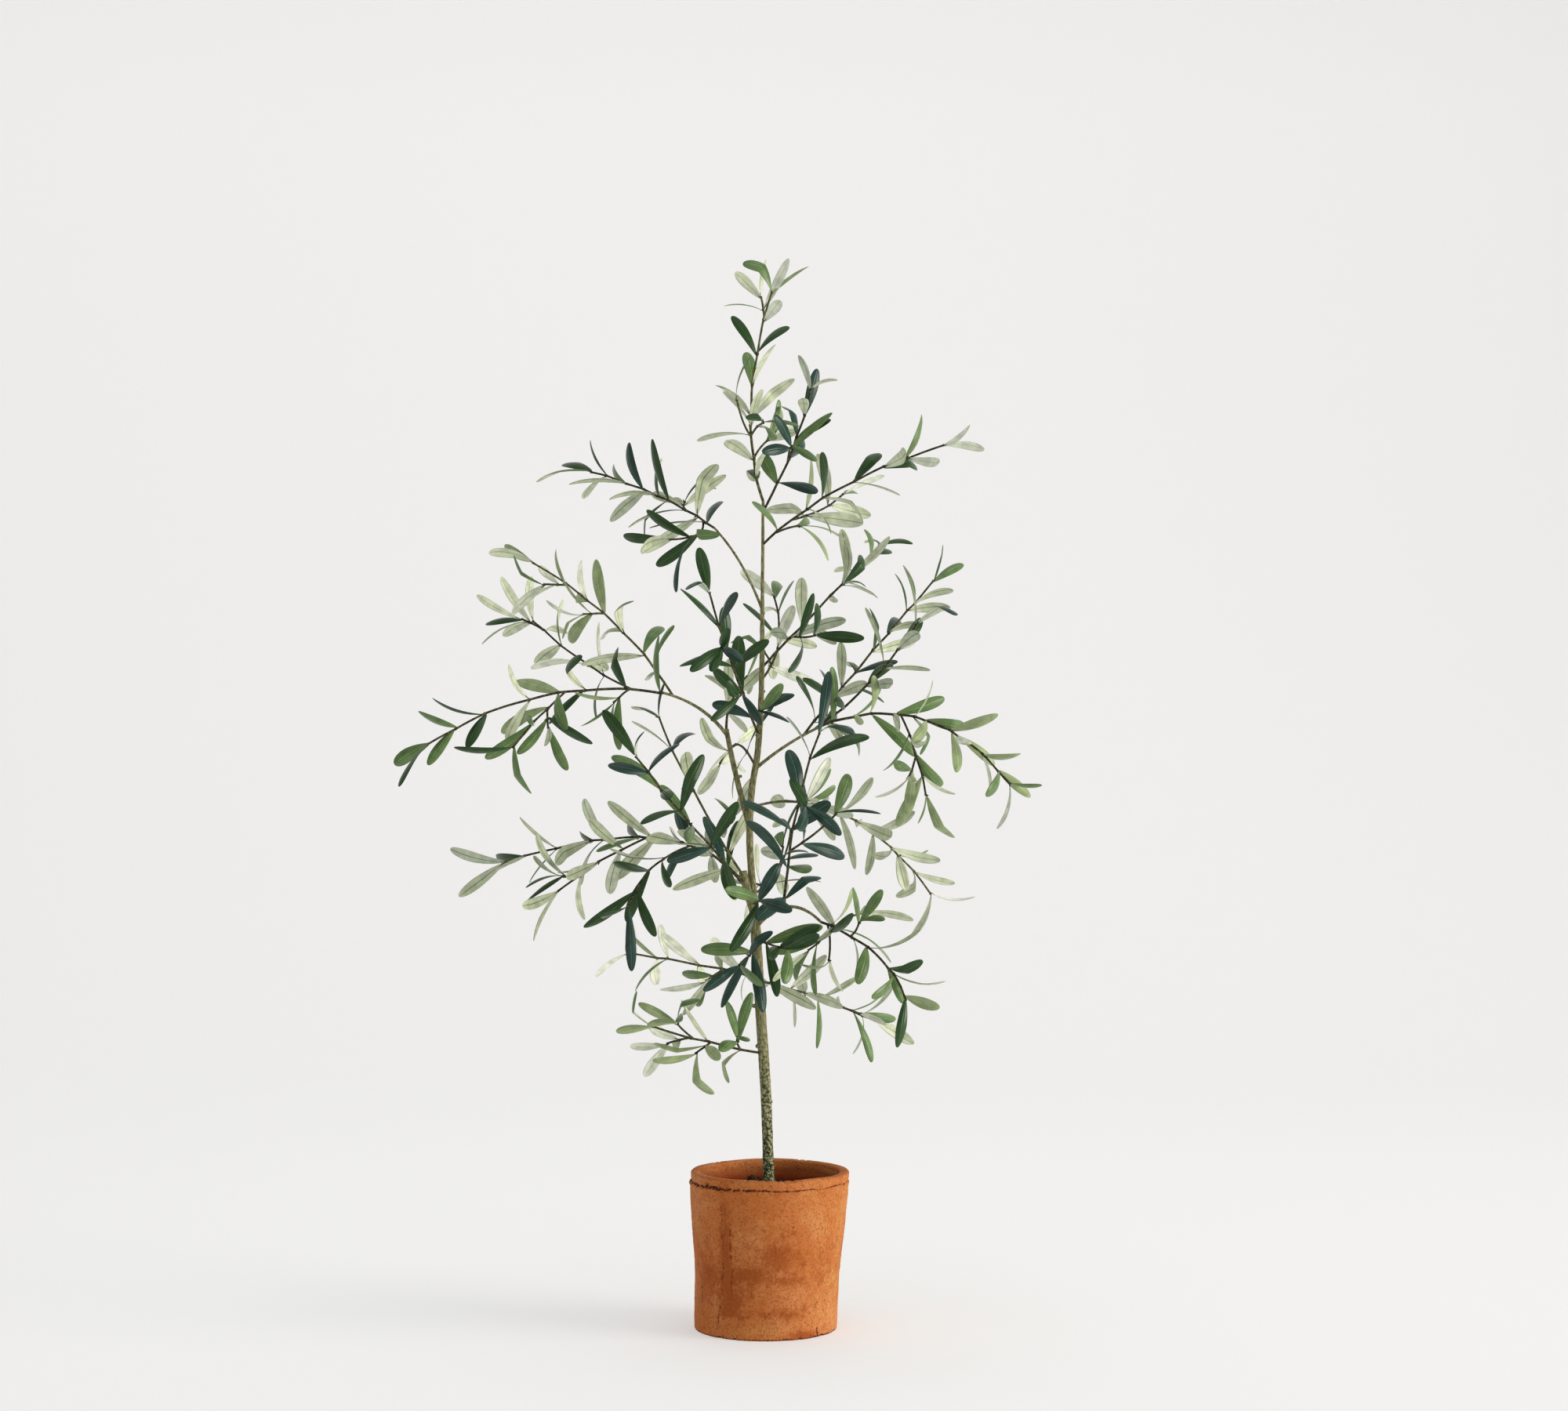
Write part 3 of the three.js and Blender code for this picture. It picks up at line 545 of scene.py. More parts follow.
def collar_relief(height, round_x, round_y, at):
    """The collar stands back over a crumbly groove, and under the groove lies a bead of pressed-out clay.

    All of it is rougher on the left, and the groove is darkened as painted shade, a little more on the left.
    """
    rough_side = smooth(0.4, -0.7, round_x)
    join = POT_HEIGHT - COLLAR_HEIGHT + 1.6 * noise.noise(Vector((round_x * 4, round_y * 4, 5)))
    join += lumps(at, (0.8, 6), (1.8 * rough_side, 4))
    crumbly = 0.85 + 0.7 * noise.noise(at / 4.5 + Vector((2, 9, 4))) + 0.5 * noise.noise(at / 2)
    groove_size = share(*GROOVE_SIZE, rough_side)
    groove = hill(height, join, groove_size) * min(max(crumbly, 0.25), 1.2)
    bead = share(*BEAD_SIZE, rough_side) * hill(height, join - BEAD_BELOW, BEAD_WIDTH)
    out = bead * smooth(0.2, 0.9, crumbly) - groove_size * groove
    out -= COLLAR_STEP * smooth(join - 0.8, join + 0.8, height) * (1 - 0.6 * smooth(-1, 1, round_x))
    return out, share(0.8, 1, rough_side) * groove


# Each crack is sunk, and darkened by its `dark` share as painted shade in it.
def crack_relief(height, turn, at):
    out = dark = 0
    for crack in CRACKS:
        mark = crack_mark(crack, turn * SKIN_RADIUS, height, at)
        out -= crack["depth"] * mark
        dark = max(dark, crack["dark"] * mark)
    return out, dark


def foot_relief(height, round_x, round_y):
    """The foot's edge is worn, with chips bitten out of it. Its bottom 5 mm are darkened as painted contact
    shade, more where a chip is bitten.
    """
    bite = smooth(0.05, 0.45, noise.noise(Vector((round_x * 11, round_y * 11, 3))))
    out = -CHIP_DEPTH * bite * smooth(CHIP_HEIGHT, 0, height) - FOOT_WEAR * smooth(2, 0, height)
    return out, (0.6 + 0.35 * bite) * smooth(5, 1, height)


def outer_relief(height, turn):
    """How far the outside stands out, in millimetres, and how much painted shade it gets in cracks, pits, the
    collar's groove and at the foot.
    """
    round_x, round_y = math.cos(turn), math.sin(turn)
    at = Vector((round_x * SKIN_RADIUS, round_y * SKIN_RADIUS, height))
    reliefs = [wall_relief(height, round_x, round_y, at), collar_relief(height, round_x, round_y, at)]
    reliefs += [crack_relief(height, turn, at), foot_relief(height, round_x, round_y)]
    outs, darks = zip(*reliefs)
    return sum(outs), min(max(darks), 1)


# %% Relief of the bore and the rim
BORE_SKIN = 95
RING_RISE = 0.5
LINE_BELOW_RIM = 8
RIM_SKIN = 110
RIM_WAVE = 1.1
RIM_NICK = 1.1
RIM_WEAR = 0.4
RIM_EDGE = (102, 113)


def inner_relief(height, turn):
    """The bore has the rings that fingers leave as they lift the clay, and a ragged line under the rim. The
    line and small pits are darkened as painted shade.
    """
    at = Vector((math.cos(turn) * BORE_SKIN, math.sin(turn) * BORE_SKIN, height))
    rings = RING_RISE * math.sin(height / 2.4 + 2 * noise.noise(at / 40))
    level = POT_HEIGHT - LINE_BELOW_RIM + 1.5 * noise.noise(at / 9)
    line = hill(height, level, 1.2) * smooth(-0.1, 0.4, noise.noise(at / 12))
    pit = smooth(0.35, 0.6, noise.noise(at / 3))
    return rings + lumps(at, (0.5, 14), (0.2, 4)) - line, max(0.8 * line, 0.5 * pit)


def rim_place(radius, height, turn):
    """The rim waves, is worn down a little, and has nicks. Its outer edge follows the wall under it."""
    at = Vector((math.cos(turn) * RIM_SKIN, math.sin(turn) * RIM_SKIN, radius / 6))
    wave = RIM_WAVE * noise.noise(Vector((math.cos(turn), math.sin(turn), 0)) * 1.7)
    nick = RIM_NICK * smooth(0.3, 0.6, noise.noise(at / 5))
    top = smooth(POT_HEIGHT - RIM_ROUND, POT_HEIGHT, height)
    height += top * (wave - RIM_WEAR - nick) + 0.25 * noise.noise(at / 3)
    radius += outer_relief(POT_HEIGHT - RIM_ROUND, turn)[0] * smooth(*RIM_EDGE, radius)
    return radius, height


# %% Turning a profile on the wheel
POT_TURNS = 520
WALL_STEP = 2.0
BORE_STEP = 8
BORE_SEEN = 45
FINE_STEP = 0.9
FINE_REACH = 8
FOOT_RINGS = (0.35, 0.7, 0.9, 0.97)
FLOOR_RINGS = (0.7, 0.35)
RIM_TURNS = range(0, 91, 18)


def pot_profile():
    """The pot's section as (radius, height, which wall), from the foot over the rim and down inside."""
    rows = [(POT_FOOT_RADIUS * part, 0, "foot") for part in FOOT_RINGS]
    corner = POT_HEIGHT - RIM_ROUND
    height = 0
    while height < corner:
        rows.append((pot_radius(height), height, "outside"))
        at_join = abs(height - POT_HEIGHT + COLLAR_HEIGHT) < FINE_REACH
        height += FINE_STEP if at_join else WALL_STEP
    rows.append((pot_radius(corner), corner, "outside"))
    turns = [math.radians(degrees) for degrees in RIM_TURNS]
    arc = [(RIM_ROUND * (1 - math.cos(turn)), corner + RIM_ROUND * math.sin(turn)) for turn in turns]
    rows += [(POT_RIM_RADIUS - inward, height, "rim") for inward, height in arc[1:]]
    rows.append(((POT_RIM_RADIUS + bore_radius(POT_HEIGHT)) / 2, POT_HEIGHT, "rim"))
    rows += [(bore_radius(corner) + inward, height, "rim") for inward, height in reversed(arc)]
    height = corner
    while height > POT_FLOOR:
        height -= WALL_STEP if height > POT_HEIGHT - BORE_SEEN else BORE_STEP
        height = max(height, POT_FLOOR)
        rows.append((bore_radius(height), height, "inside"))
    return rows + [(bore_radius(POT_FLOOR) * part, POT_FLOOR, "floor") for part in FLOOR_RINGS]


def lathe(rows, point_of, turns):
    """A closed skin round rings of points, with a middle point at each end. Marks may follow a place."""
    points = [point_of(row, math.tau * i / turns) for row in rows for i in range(turns)]
    faces = []
    for ring in range(len(rows) - 1):
        for i in range(turns):
            after = (i + 1) % turns
            low, high = ring * turns, (ring + 1) * turns
            faces.append((low + i, low + after, high + after, high + i))
    for ring, flipped in ((0, True), (len(rows) - 1, False)):
        middle = len(points)
        points.append(tuple(np.mean(points[ring * turns : (ring + 1) * turns], axis=0)))
        for i in range(turns):
            a, b = ring * turns + i, ring * turns + (i + 1) % turns
            faces.append((b, a, middle) if flipped else (a, b, middle))
    return np.array(points), faces


# %% Pot mesh
# Painted shade: the bore darkens from 4 mm under the rim, by this share in full from 30 mm down.
BORE_SHADE = 0.85
BORE_SHADE_HEIGHTS = (POT_HEIGHT - 4, POT_HEIGHT - 30)


def pot_point(row, turn):
    """A point of the pot: its place, and then its marks in the order of MARKS."""
    radius, height, wall = row
    crack = stain = ochre = inside = 0
    if wall == "outside":
        at = Vector((math.cos(turn) * SKIN_RADIUS, math.sin(turn) * SKIN_RADIUS, height))
        out, crack = outer_relief(height, turn)
        stain, ochre = (mark_of(spots, turn, height, at) for spots in (STAINS, PALE_PLACES))
        radius += out
    elif wall in ("inside", "floor"):
        relief, crack = inner_relief(height, turn)
        radius -= relief
        inside = BORE_SHADE * smooth(*BORE_SHADE_HEIGHTS, height)
    elif wall == "rim":
        radius, height = rim_place(radius, height, turn)
    lean = POT_LEAN * height / POT_HEIGHT
    return (radius * math.cos(turn) + lean, radius * math.sin(turn), height, crack, stain, ochre, inside)


def store_marks(piece, names, columns):
    """Keeps one number per vertex under each name, for the shader."""
    for name, column in zip(names, columns.T):
        kept = piece.data.attributes.new(name, "FLOAT", "POINT")
        kept.data.foreach_set("value", column.tolist())


points, faces = lathe(pot_profile(), pot_point, POT_TURNS)
pot = make_mesh("clay_pot", points[:, :3], faces, clay)
store_marks(pot, MARKS, points[:, 3:])
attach(pot, "root")
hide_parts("pot")
print("pot:", len(pot.data.polygons), "faces")

# %% [markdown]
# Growing the tree
#
# The same rule grew the solids of the frame. Every limb is a bent line that starts on another limb. Pairs
# of leaves stand along the twigs, each pair square across the one before, and each leaf is turned, or left
# out, where it would touch something. Here the pairs stand closer and the leaves have their real size, so
# there are about a quarter more of them, within the same reach.

# %% Trunk, boughs and sprays
TRUNK_FOOT = 197.3
TRUNK_BENDS = [
    (4.5, 0, TRUNK_FOOT),
    (0, 1, 330),
    (-7, -2, 440),
    (-14, 0, 555),
    (-23, 3, 690),
    (-21, 2, 760),
    (-11, -2, 830),
    (-6, 0, 930),
    (-5, 3, 1060),
    (-4, 0, 1180),
]
TRUNK_RADII = [
    (TRUNK_FOOT, 10),
    (215, 8.3),
    (250, 7.7),
    (590, 7.5),
    (650, 5.2),
    (830, 4.6),
    (955, 3.7),
    (1065, 2.5),
    (1180, 2.1),
]
TWIG_TIP_RADIUS = 1.4

# Each bough runs from its foot on the limb `on`, at a height or at a share `at` of that limb, to its tip, and
# its middle stands off the straight line by `bend`. `radii` are at its foot and its tip.
BOUGHS = {
    "second_stem": dict(on="trunk", height=716, tip=(-57, 20, 854), bend=(-2, -2, 0), radii=(4.5, 3.4)),
    "left_arch": dict(on="second_stem", at=0.93, tip=(-147, 10, 906), bend=(6, 6, 8), radii=(2.8, 1.8)),
    "right_arch": dict(on="trunk", height=797, tip=(81, -40, 860), bend=(-3, 5, 3), radii=(2.5, 1.8)),
    "upper_left_bough": dict(on="trunk", height=1024, tip=(-75, 60, 1145), bend=(4, 0, 7), radii=(2, 1.6)),
    "low_right_bough": dict(on="trunk", height=570, tip=(78, -65, 583), bend=(0, -2, 26), radii=(2.8, 1.9)),
    "cut_stub": dict(on="trunk", height=592, tip=(-33, -8, 651), bend=(-1, 0, 0), radii=(6.4, 6.1)),
}

# `bare` is the share of a stem without leaves, `shows` the side of most blades that faces the viewer, and
# `tint` the dye lot of its leaves.
SPRAYS = {
    "leader_spray": dict(
        on="trunk", at=1, tip=(8, -25, 1476), bend=(-23, 0, -15), radius=1.9, bare=0.12, seed=11, tint="moss",
        twigs=[dict(at=0.36, tip=(-42, -35, 1321), bend=(-1, 2, -5))],
    ),
    "fork_right_spray": dict(
        on="trunk", height=1165, tip=(64, -75, 1332), bend=(6, 5, -2), radius=1.7, bare=0.2, seed=12,
        tint="slate",
    ),
    "upper_left_spray": dict(
        on="upper_left_bough", at=1, tip=(-260, 150, 1234), bend=(12, 5, 4), radius=1.6, bare=0.08, seed=43,
        leaf=1.1, tint="deep", twigs=[dict(at=0.12, tip=(-140, 35, 1128), bend=(15, 2, -8))],
    ),
    "upper_right_spray": dict(
        on="trunk", height=1118, tip=(250, -100, 1251), bend=(-14, -5, 12), radius=1.7, bare=0.14, seed=14,
        tint="moss", twigs=[dict(at=0.2, tip=(112, 50, 1193), bend=(-2, 0, -7))],
    ),
    "right_upper_spray": dict(
        on="trunk", height=942, tip=(168, 180, 1126), bend=(13, 0, 14), radius=1.7, bare=0.2, seed=15,
        tint="deep", twigs=[dict(at=0.2, tip=(70, -5, 989), bend=(0, 0, -3))],
    ),
    "front_upper_spray": dict(
        on="trunk", height=845, tip=(-76, -230, 1041), bend=(-2, -5, -1), radius=1.7, bare=0.15, seed=16,
        shows="upper", tint="deep",
    ),
    "back_upper_spray": dict(
        on="trunk", height=925, tip=(12, 210, 1050), bend=(14, 10, -10), radius=1.6, bare=0.2, seed=17,
        tint="moss",
    ),
    "second_top_spray": dict(
        on="second_stem", at=1, tip=(-28, 110, 930), bend=(-7, -5, 4), radius=1.7, bare=0.2, seed=51,
        tint="deep",
    ),
    "left_upper_spray": dict(
        on="left_arch", at=0.88, tip=(-344, 130, 1099), bend=(19, 0, 6), radius=1.6, bare=0.12, seed=19,
        leaf=1.08, tint="sage",
    ),
    "left_long_spray": dict(
        on="left_arch", at=1, tip=(-465, -150, 834), bend=(-10, 10, 31), radius=1.7, bare=0.05, seed=20,
        leaf=1.06, tint="moss",
        twigs=[
            dict(at=0.12, tip=(-350, 215, 1015), bend=(0, -5, -9)),
            dict(at=0.4, tip=(-352, -115, 830), bend=(2, 5, 6)),
        ],
    ),
    "right_long_spray": dict(
        on="right_arch", at=1, tip=(332, -220, 781), bend=(13, 10, 48), radius=1.7, bare=0.06, seed=21,
        tint="sage", twigs=[dict(at=0.38, tip=(223, -135, 764), bend=(2, 5, 5))],
    ),
    "right_up_spray": dict(
        on="right_arch", at=0.74, tip=(245, 100, 1070), bend=(-5, 0, -3), radius=1.7, bare=0.1, seed=42,
        tint="deep",
    ),
    "right_mid_spray": dict(
        on="right_arch", at=0.88, tip=(211, -100, 1002), bend=(7, 6, -8), radius=1.6, bare=0.1, seed=23,
        tint="deep",
    ),
    "low_right_spray": dict(
        on="low_right_bough", at=1, tip=(192, -185, 488), bend=(17, 2, 8), radius=1.7, bare=0.06, seed=24,
        tint="moss",
        twigs=[
            dict(at=0.12, tip=(133, -35, 593), bend=(-3, -2, 3)),
            dict(at=0.05, tip=(89, -110, 533), bend=(2, 0, -1)),
        ],
    ),
    "upright_spray": dict(
        on="low_right_bough", at=0.45, tip=(73, -240, 851), bend=(-10, -12, -1), radius=1.8, bare=0.1,
        seed=125, leaf=1.08, shows="upper", tint="slate",
        twigs=[dict(at=0.34, tip=(98, -130, 739), bend=(0, 2, -5))],
    ),
    "mid_right_spray": dict(
        on="trunk", height=742, tip=(247, 230, 605), bend=(2, -5, 54), radius=1.7, bare=0.2, seed=126,
        shows="under", tint="moss",
    ),
    "low_back_right_spray": dict(
        on="trunk", height=494, tip=(166, 190, 416), bend=(-12, -5, 10), radius=1.6, bare=0.15, seed=27,
        tint="moss",
    ),
    "low_back_left_spray": dict(
        on="trunk", height=500, tip=(-208, 200, 518), bend=(0, -10, 3), radius=1.6, bare=0.12, seed=28,
        tint="sage",
    ),
    "low_front_right_spray": dict(
        on="trunk", height=552, tip=(32, -125, 550), bend=(1, 2, -1), radius=1.5, bare=0.3, seed=29,
        shows="upper", tint="deep",
    ),
    "low_front_left_spray": dict(
        on="trunk", height=538, tip=(-37, -115, 526), bend=(2, 2, 4), radius=1.5, bare=0.3, seed=30,
        shows="upper", tint="slate",
    ),
    "front_rosette_spray": dict(
        on="trunk", height=604, tip=(-8, -90, 615), bend=(2, -2, 1), radius=1.5, bare=0.4, seed=31,
        shows="upper", tint="slate",
    ),
    "low_left_spray": dict(
        on="trunk", height=391, tip=(-159, -80, 437), bend=(-2, 0, -2), radius=1.6, bare=0.12, seed=32,
        tint="sage",
    ),
    "far_left_spray": dict(
        on="cut_stub", at=0.5, tip=(-385, 120, 657), bend=(51, 0, 56), radius=1.7, bare=0.18, seed=33,
        leaf=1.07, tint="deep",
        twigs=[
            dict(at=0.55, tip=(-299, 30, 620), bend=(-3, 5, 5)),
            dict(at=0.36, tip=(-194, -45, 603), bend=(-11, 5, 12)),
        ],
    ),
    "inner_left_spray": dict(
        on="cut_stub", at=0.88, tip=(-156, 60, 871), bend=(-11, -12, 9), radius=1.6, bare=0.2, seed=34,
        tint="deep", twigs=[dict(at=0.27, tip=(-46, 22, 728), bend=(7, -2, -3))],
    ),
    "front_left_spray": dict(
        on="cut_stub", at=0.7, tip=(-173, -250, 819), bend=(-12, -1, 8), radius=1.7, bare=0.18, seed=35,
        leaf=1.05, shows="upper", tint="deep",
    ),
    "back_low_spray": dict(
        on="trunk", height=618, tip=(35, 230, 700), bend=(10, 5, -12), radius=1.6, bare=0.2, seed=36,
        shows="upper", tint="deep",
    ),
    "back_mid_spray": dict(
        on="trunk", height=800, tip=(-70, 240, 800), bend=(0, 10, 30), radius=1.6, bare=0.2, seed=37,
        shows="upper", tint="deep",
    ),
}
print("tree:", len(BOUGHS), "boughs,", len(SPRAYS), "sprays")

# %% [markdown]
# Routes
#
# A route is a function from a share of the limb to a point. The trunk passes through its listed bends on a
# smooth curve, and every other limb is a parabola through its foot and tip, pulled aside by its bend.

# %% Routes of the limbs
HALVINGS = 30


def smooth_route(bends):
    """A curve through all bends, each stretch a cubic whose ends head along their neighbours' chord."""
    points = np.array(bends, float)
    before = 2 * points[0] - points[1]
    after = 2 * points[-1] - points[-2]
    points = np.vstack([before, points, after])
    stretches = len(bends) - 1

    def at(part):
        i = min(int(part * stretches), stretches - 1)
        w = part * stretches - i
        p0, p1, p2, p3 = points[i : i + 4]
        t1, t2 = (p2 - p0) / 2, (p3 - p1) / 2
        return p1 + t1 * w + (3 * (p2 - p1) - 2 * t1 - t2) * w**2 + (2 * (p1 - p2) + t1 + t2) * w**3

    return at


def bent_route(foot, tip, bend):
    foot, tip = np.asarray(foot, float), np.asarray(tip, float)
    control = (foot + tip) / 2 + 2 * np.asarray(bend, float)
    return lambda part: (1 - part) ** 2 * foot + 2 * part * (1 - part) * control + part**2 * tip


def length_of(route, pieces=32):
    points = [route(i / pieces) for i in range(pieces + 1)]
    return sum(np.linalg.norm(b - a) for a, b in zip(points, points[1:]))


def heading(route, part, step=0.0001):
    low, high = max(part - step, 0), min(part + step, 1)
    return unit(route(high) - route(low))


@dataclass
class Limb:
    route: object
    length: float
    radius_at: object


trunk_route = smooth_route(TRUNK_BENDS)


def trunk_share(height):
    """The share of the trunk's route, which only ever rises, at a height."""
    low, high = 0.0, 1.0
    for _ in range(HALVINGS):
        middle = (low + high) / 2
        if trunk_route(middle)[2] < height:
            low = middle
        else:
            high = middle
    return low


def trunk_radius(part):
    heights, radii = zip(*TRUNK_RADII)
    return float(np.interp(trunk_route(part)[2], heights, radii))


def place_limb(spec, parent, foot_radius, tip_radius):
    """A limb that starts on another one."""
    at = trunk_share(spec["height"]) if "height" in spec else spec["at"]
    route = bent_route(parent.route(at), spec["tip"], spec["bend"])
    return Limb(route, length_of(route), lambda part: share(foot_radius, tip_radius, part))


limbs = {"trunk": Limb(trunk_route, length_of(trunk_route), trunk_radius)}
for name, spec in BOUGHS.items():
    limbs[name] = place_limb(spec, limbs[spec["on"]], *spec["radii"])
print("limbs:", {name: round(limb.length) for name, limb in limbs.items()}, "mm long")

# %% [markdown]
# Room for every leaf
#
# Cloth leaves are bent into gaps by hand when such a tree is unpacked, so almost none touch. To do the
# same, each leaf and twig is filled with small balls, and a new leaf keeps its balls clear of all the
# others. Only the first quarter of a leaf may come near the twigs and leaves of its own spray. No leaf stands
# further out than the solids' box and a few millimetres.

# %% Balls that keep leaves apart
BALL_STEP = 4.5
BALLS_ACROSS = (-1, -1 / 3, 1 / 3, 1)
BALLS_A_GROUP = 12
LEAF_BALL_RADIUS = 1
BALL_GAP = 1.6
ROOT_SHARE = 0.25
STAND_PROUD = 9
LEAST = np.array(cad_box[0]) / MM - STAND_PROUD
MOST = np.array(cad_box[1]) / MM + STAND_PROUD


@dataclass
class BallGroup:
    points: object
    radii: object
    is_root: object
    owner: str
    spray: str

    def __post_init__(self):
        self.middle = self.points.mean(axis=0)
        self.reach = (np.linalg.norm(self.points - self.middle, axis=1) + self.radii).max()


taken = []


def limb_groups(limb, owner, spray):
    steps = math.ceil(limb.length / BALL_STEP)
    parts = np.arange(steps + 1) / steps
    points = np.array([limb.route(part) for part in parts])
    radii = np.array([limb.radius_at(part) for part in parts])
    for i in range(0, len(parts), BALLS_A_GROUP):
        cut = slice(i, i + BALLS_A_GROUP)
        yield BallGroup(points[cut], radii[cut], parts[cut] < ROOT_SHARE, owner, spray)


def touches(group, other):
    """Whether any ball of a group comes within the gap of any ball of another group."""
    reach = other.reach + group.reach + BALL_GAP
    if np.linalg.norm(other.middle - group.middle) > reach:
        return False
    counted = ~group.is_root if other.spray == group.spray else np.ones(len(group.points), bool)
    apart = group.points[counted, None, :] - other.points[None, :, :]
    least = group.radii[counted, None] + other.radii[None, :] + BALL_GAP
    return bool(((apart**2).sum(axis=2) < least**2).any())


def is_clear(group):
    if (group.points < LEAST).any() or (group.points > MOST).any():
        return False
    return not any(other.owner != group.owner and touches(group, other) for other in taken)


# %% [markdown]
# The blade of a leaf
#
# An olive leaf is oblong, widest just past its middle, with a blunt tip. It bends back in one arc, and about
# one in eight is creased where it was packed, so it bends in two arcs with a fold between. The blade turns a
# little as it goes, and most blades are bent so that one side faces the viewer.

# %% Leaf sizes and the shape of a blade
LEAF_LENGTH = (62, 98)
LEAF_WIDTH = (15.5, 21.5)
STALK_WIDTH = 1.2
TIP_LEAF = 0.88
LEAN_AT_FOOT = 1.05
LEAN_AT_TIP = 0.42
LEAN_SPREAD = 0.22
TURN_SPREAD = 0.35
ROLL_SPREAD = 0.6
CURL = (0.25, 0.95)
KINK_SHARE = 0.12
KINK = (0.35, 0.8)
KINK_AT = 0.55
TWIST_SPREAD = 0.7
BLADE_BELLY = 1.55
BLADE_FULLNESS = 0.45
VIEWER = unit(np.array((0, -1, 0.35)))
VIEWER_PULL = 1.0
UPPER_SHARE = 0.58


@dataclass
class Leaf:
    root: object
    axis: object
    face: object
    length: float
    width: float
    curl: float
    kink: float
    twist: float
    tint: str = ""

    def width_at(self, part):
        full = max(0, math.sin(math.pi * part**BLADE_BELLY))
        return max(STALK_WIDTH, self.width * full**BLADE_FULLNESS)

    def arc(self, start, size):
        end = start + self.curl * size
        radius = self.length / self.curl
        ahead = radius * (math.sin(end) - math.sin(start))
        return np.array((ahead, radius * (math.cos(start) - math.cos(end))))

    def at(self, part):
        """The point on the midrib, and the directions across the blade and out of its upper side."""
        run = self.arc(0, min(part, KINK_AT))
        angle = self.curl * part
        if part > KINK_AT:
            run = run + self.arc(self.curl * KINK_AT + self.kink, part - KINK_AT)
            angle += self.kink
        point = self.root + self.axis * run[0] - self.face * run[1]
        ahead = self.axis * math.cos(angle) - self.face * math.sin(angle)
        up = self.face * math.cos(angle) + self.axis * math.sin(angle)
        up = turned_about(ahead, up, self.twist * part)
        return point, np.cross(up, ahead), up


def turned_about(axis, vector, angle):
    """A vector that stands square to an axis, turned about it."""
    return vector * math.cos(angle) + np.cross(axis, vector) * math.sin(angle)


def leaf_group(leaf, owner, spray):
    steps = math.ceil(leaf.length / BALL_STEP)
    points, is_root = [], []
    for i in range(steps + 1):
        part = i / steps
        point, across, _ = leaf.at(part)
        for side in BALLS_ACROSS:
            points.append(point + across * side * leaf.width_at(part) / 2)
            is_root.append(part < ROOT_SHARE)
    radii = np.full(len(points), float(LEAF_BALL_RADIUS))
    return BallGroup(np.array(points), radii, np.array(is_root), owner, spray)


# One run of chance for a leaf has a number from 0 to 1 for each of these.
Draw = namedtuple("Draw", "tilt side roll length width curl kink twist turn spur")


def leaf_from(place, turn, draw):
    """The leaf that one run of chance gives at a place on a shoot."""
    root, tangent, lean, scale, shows = place
    side = unit(np.cross(tangent, (0, 1, 0)))
    back = np.cross(tangent, side)
    outward = side * math.cos(turn) + back * math.sin(turn)
    tilt = lean + spread(LEAN_SPREAD, draw.tilt)
    axis = tangent * math.cos(tilt) + outward * math.sin(tilt)
    towards = {"upper": 1, "under": -1, "both": 1 if draw.side < UPPER_SHARE else -1}[shows]
    face = unit(tangent - axis * tangent.dot(axis)) + VIEWER * VIEWER_PULL * towards
    face = unit(face - axis * face.dot(axis))
    face = turned_about(axis, face, spread(ROLL_SPREAD, draw.roll))
    return Leaf(
        root,
        axis,
        face,
        length=share(*LEAF_LENGTH, draw.length) * scale,
        width=share(*LEAF_WIDTH, draw.width) * scale,
        curl=share(*CURL, draw.curl),
        kink=share(*KINK, draw.kink / KINK_SHARE) if draw.kink < KINK_SHARE else 0,
        twist=spread(TWIST_SPREAD, draw.twist),
    )


print("leaves:", LEAF_LENGTH, "mm long and", LEAF_WIDTH, "mm wide at a shoot's foot")

# %% [markdown]
# Shoots
#
# A shoot is one twig with its leaves. At every pair the twig has a small knuckle and changes direction by a
# degree or two, so a real one looks faintly zigzag. Now and then a leaf is a short spur instead, with a few
# leaves of its own. All stems are laid before any leaf grows, so no leaf takes a stem's place.

# %% Growing the shoots
PAIR_SPACING = 42

# Sprays that the photograph shows fuller or thinner than the rest.
SPACING_OF = {
    "leader_spray": 36,
    "upper_left_spray": 25,
    "upper_right_spray": 46,
    "left_upper_spray": 43,
    "left_long_spray": 48,
    "right_long_spray": 31,
    "far_left_spray": 32,
    "mid_right_spray": 37,
    "inner_left_spray": 68,
    "upright_spray": 58,
    "back_low_spray": 75,
    "back_mid_spray": 75,
    "second_top_spray": 60,
    "back_upper_spray": 56,
    "front_left_spray": 46,
    "front_upper_spray": 54,
    "low_left_spray": 50,
    "low_back_left_spray": 52,
    "right_upper_spray": 39,
    "right_mid_spray": 37,
    "right_up_spray": 38,
    "low_right_spray": 39,
}
PAIR_STRAY = 0.3
PAIR_STAGGER = 3.5
TWIG_BARE = 0.3
TWIG_SEED_STEP = 100
SPUR_SHARE = 0.1
SPUR_LENGTH = (26, 46)
SPUR_BEND = 0.06
SPUR_BARE = 0.7
SPUR_LEAF = 0.9
SPUR_SEEDS = 1e6
SWINGS = (0, 0.45, -0.45, 0.9, -0.9)
PAIR_NUMBERS = itertools.count(1)


@dataclass
class Shoot:
    limb: Limb
    seed: int
    bare: float
    leaf: float
    shows: str
    tint: str
    spacing: float
    may_fork: bool = True


@dataclass
class Spray:
    name: str
    shoots: list
    twigs: list
    leaves: list


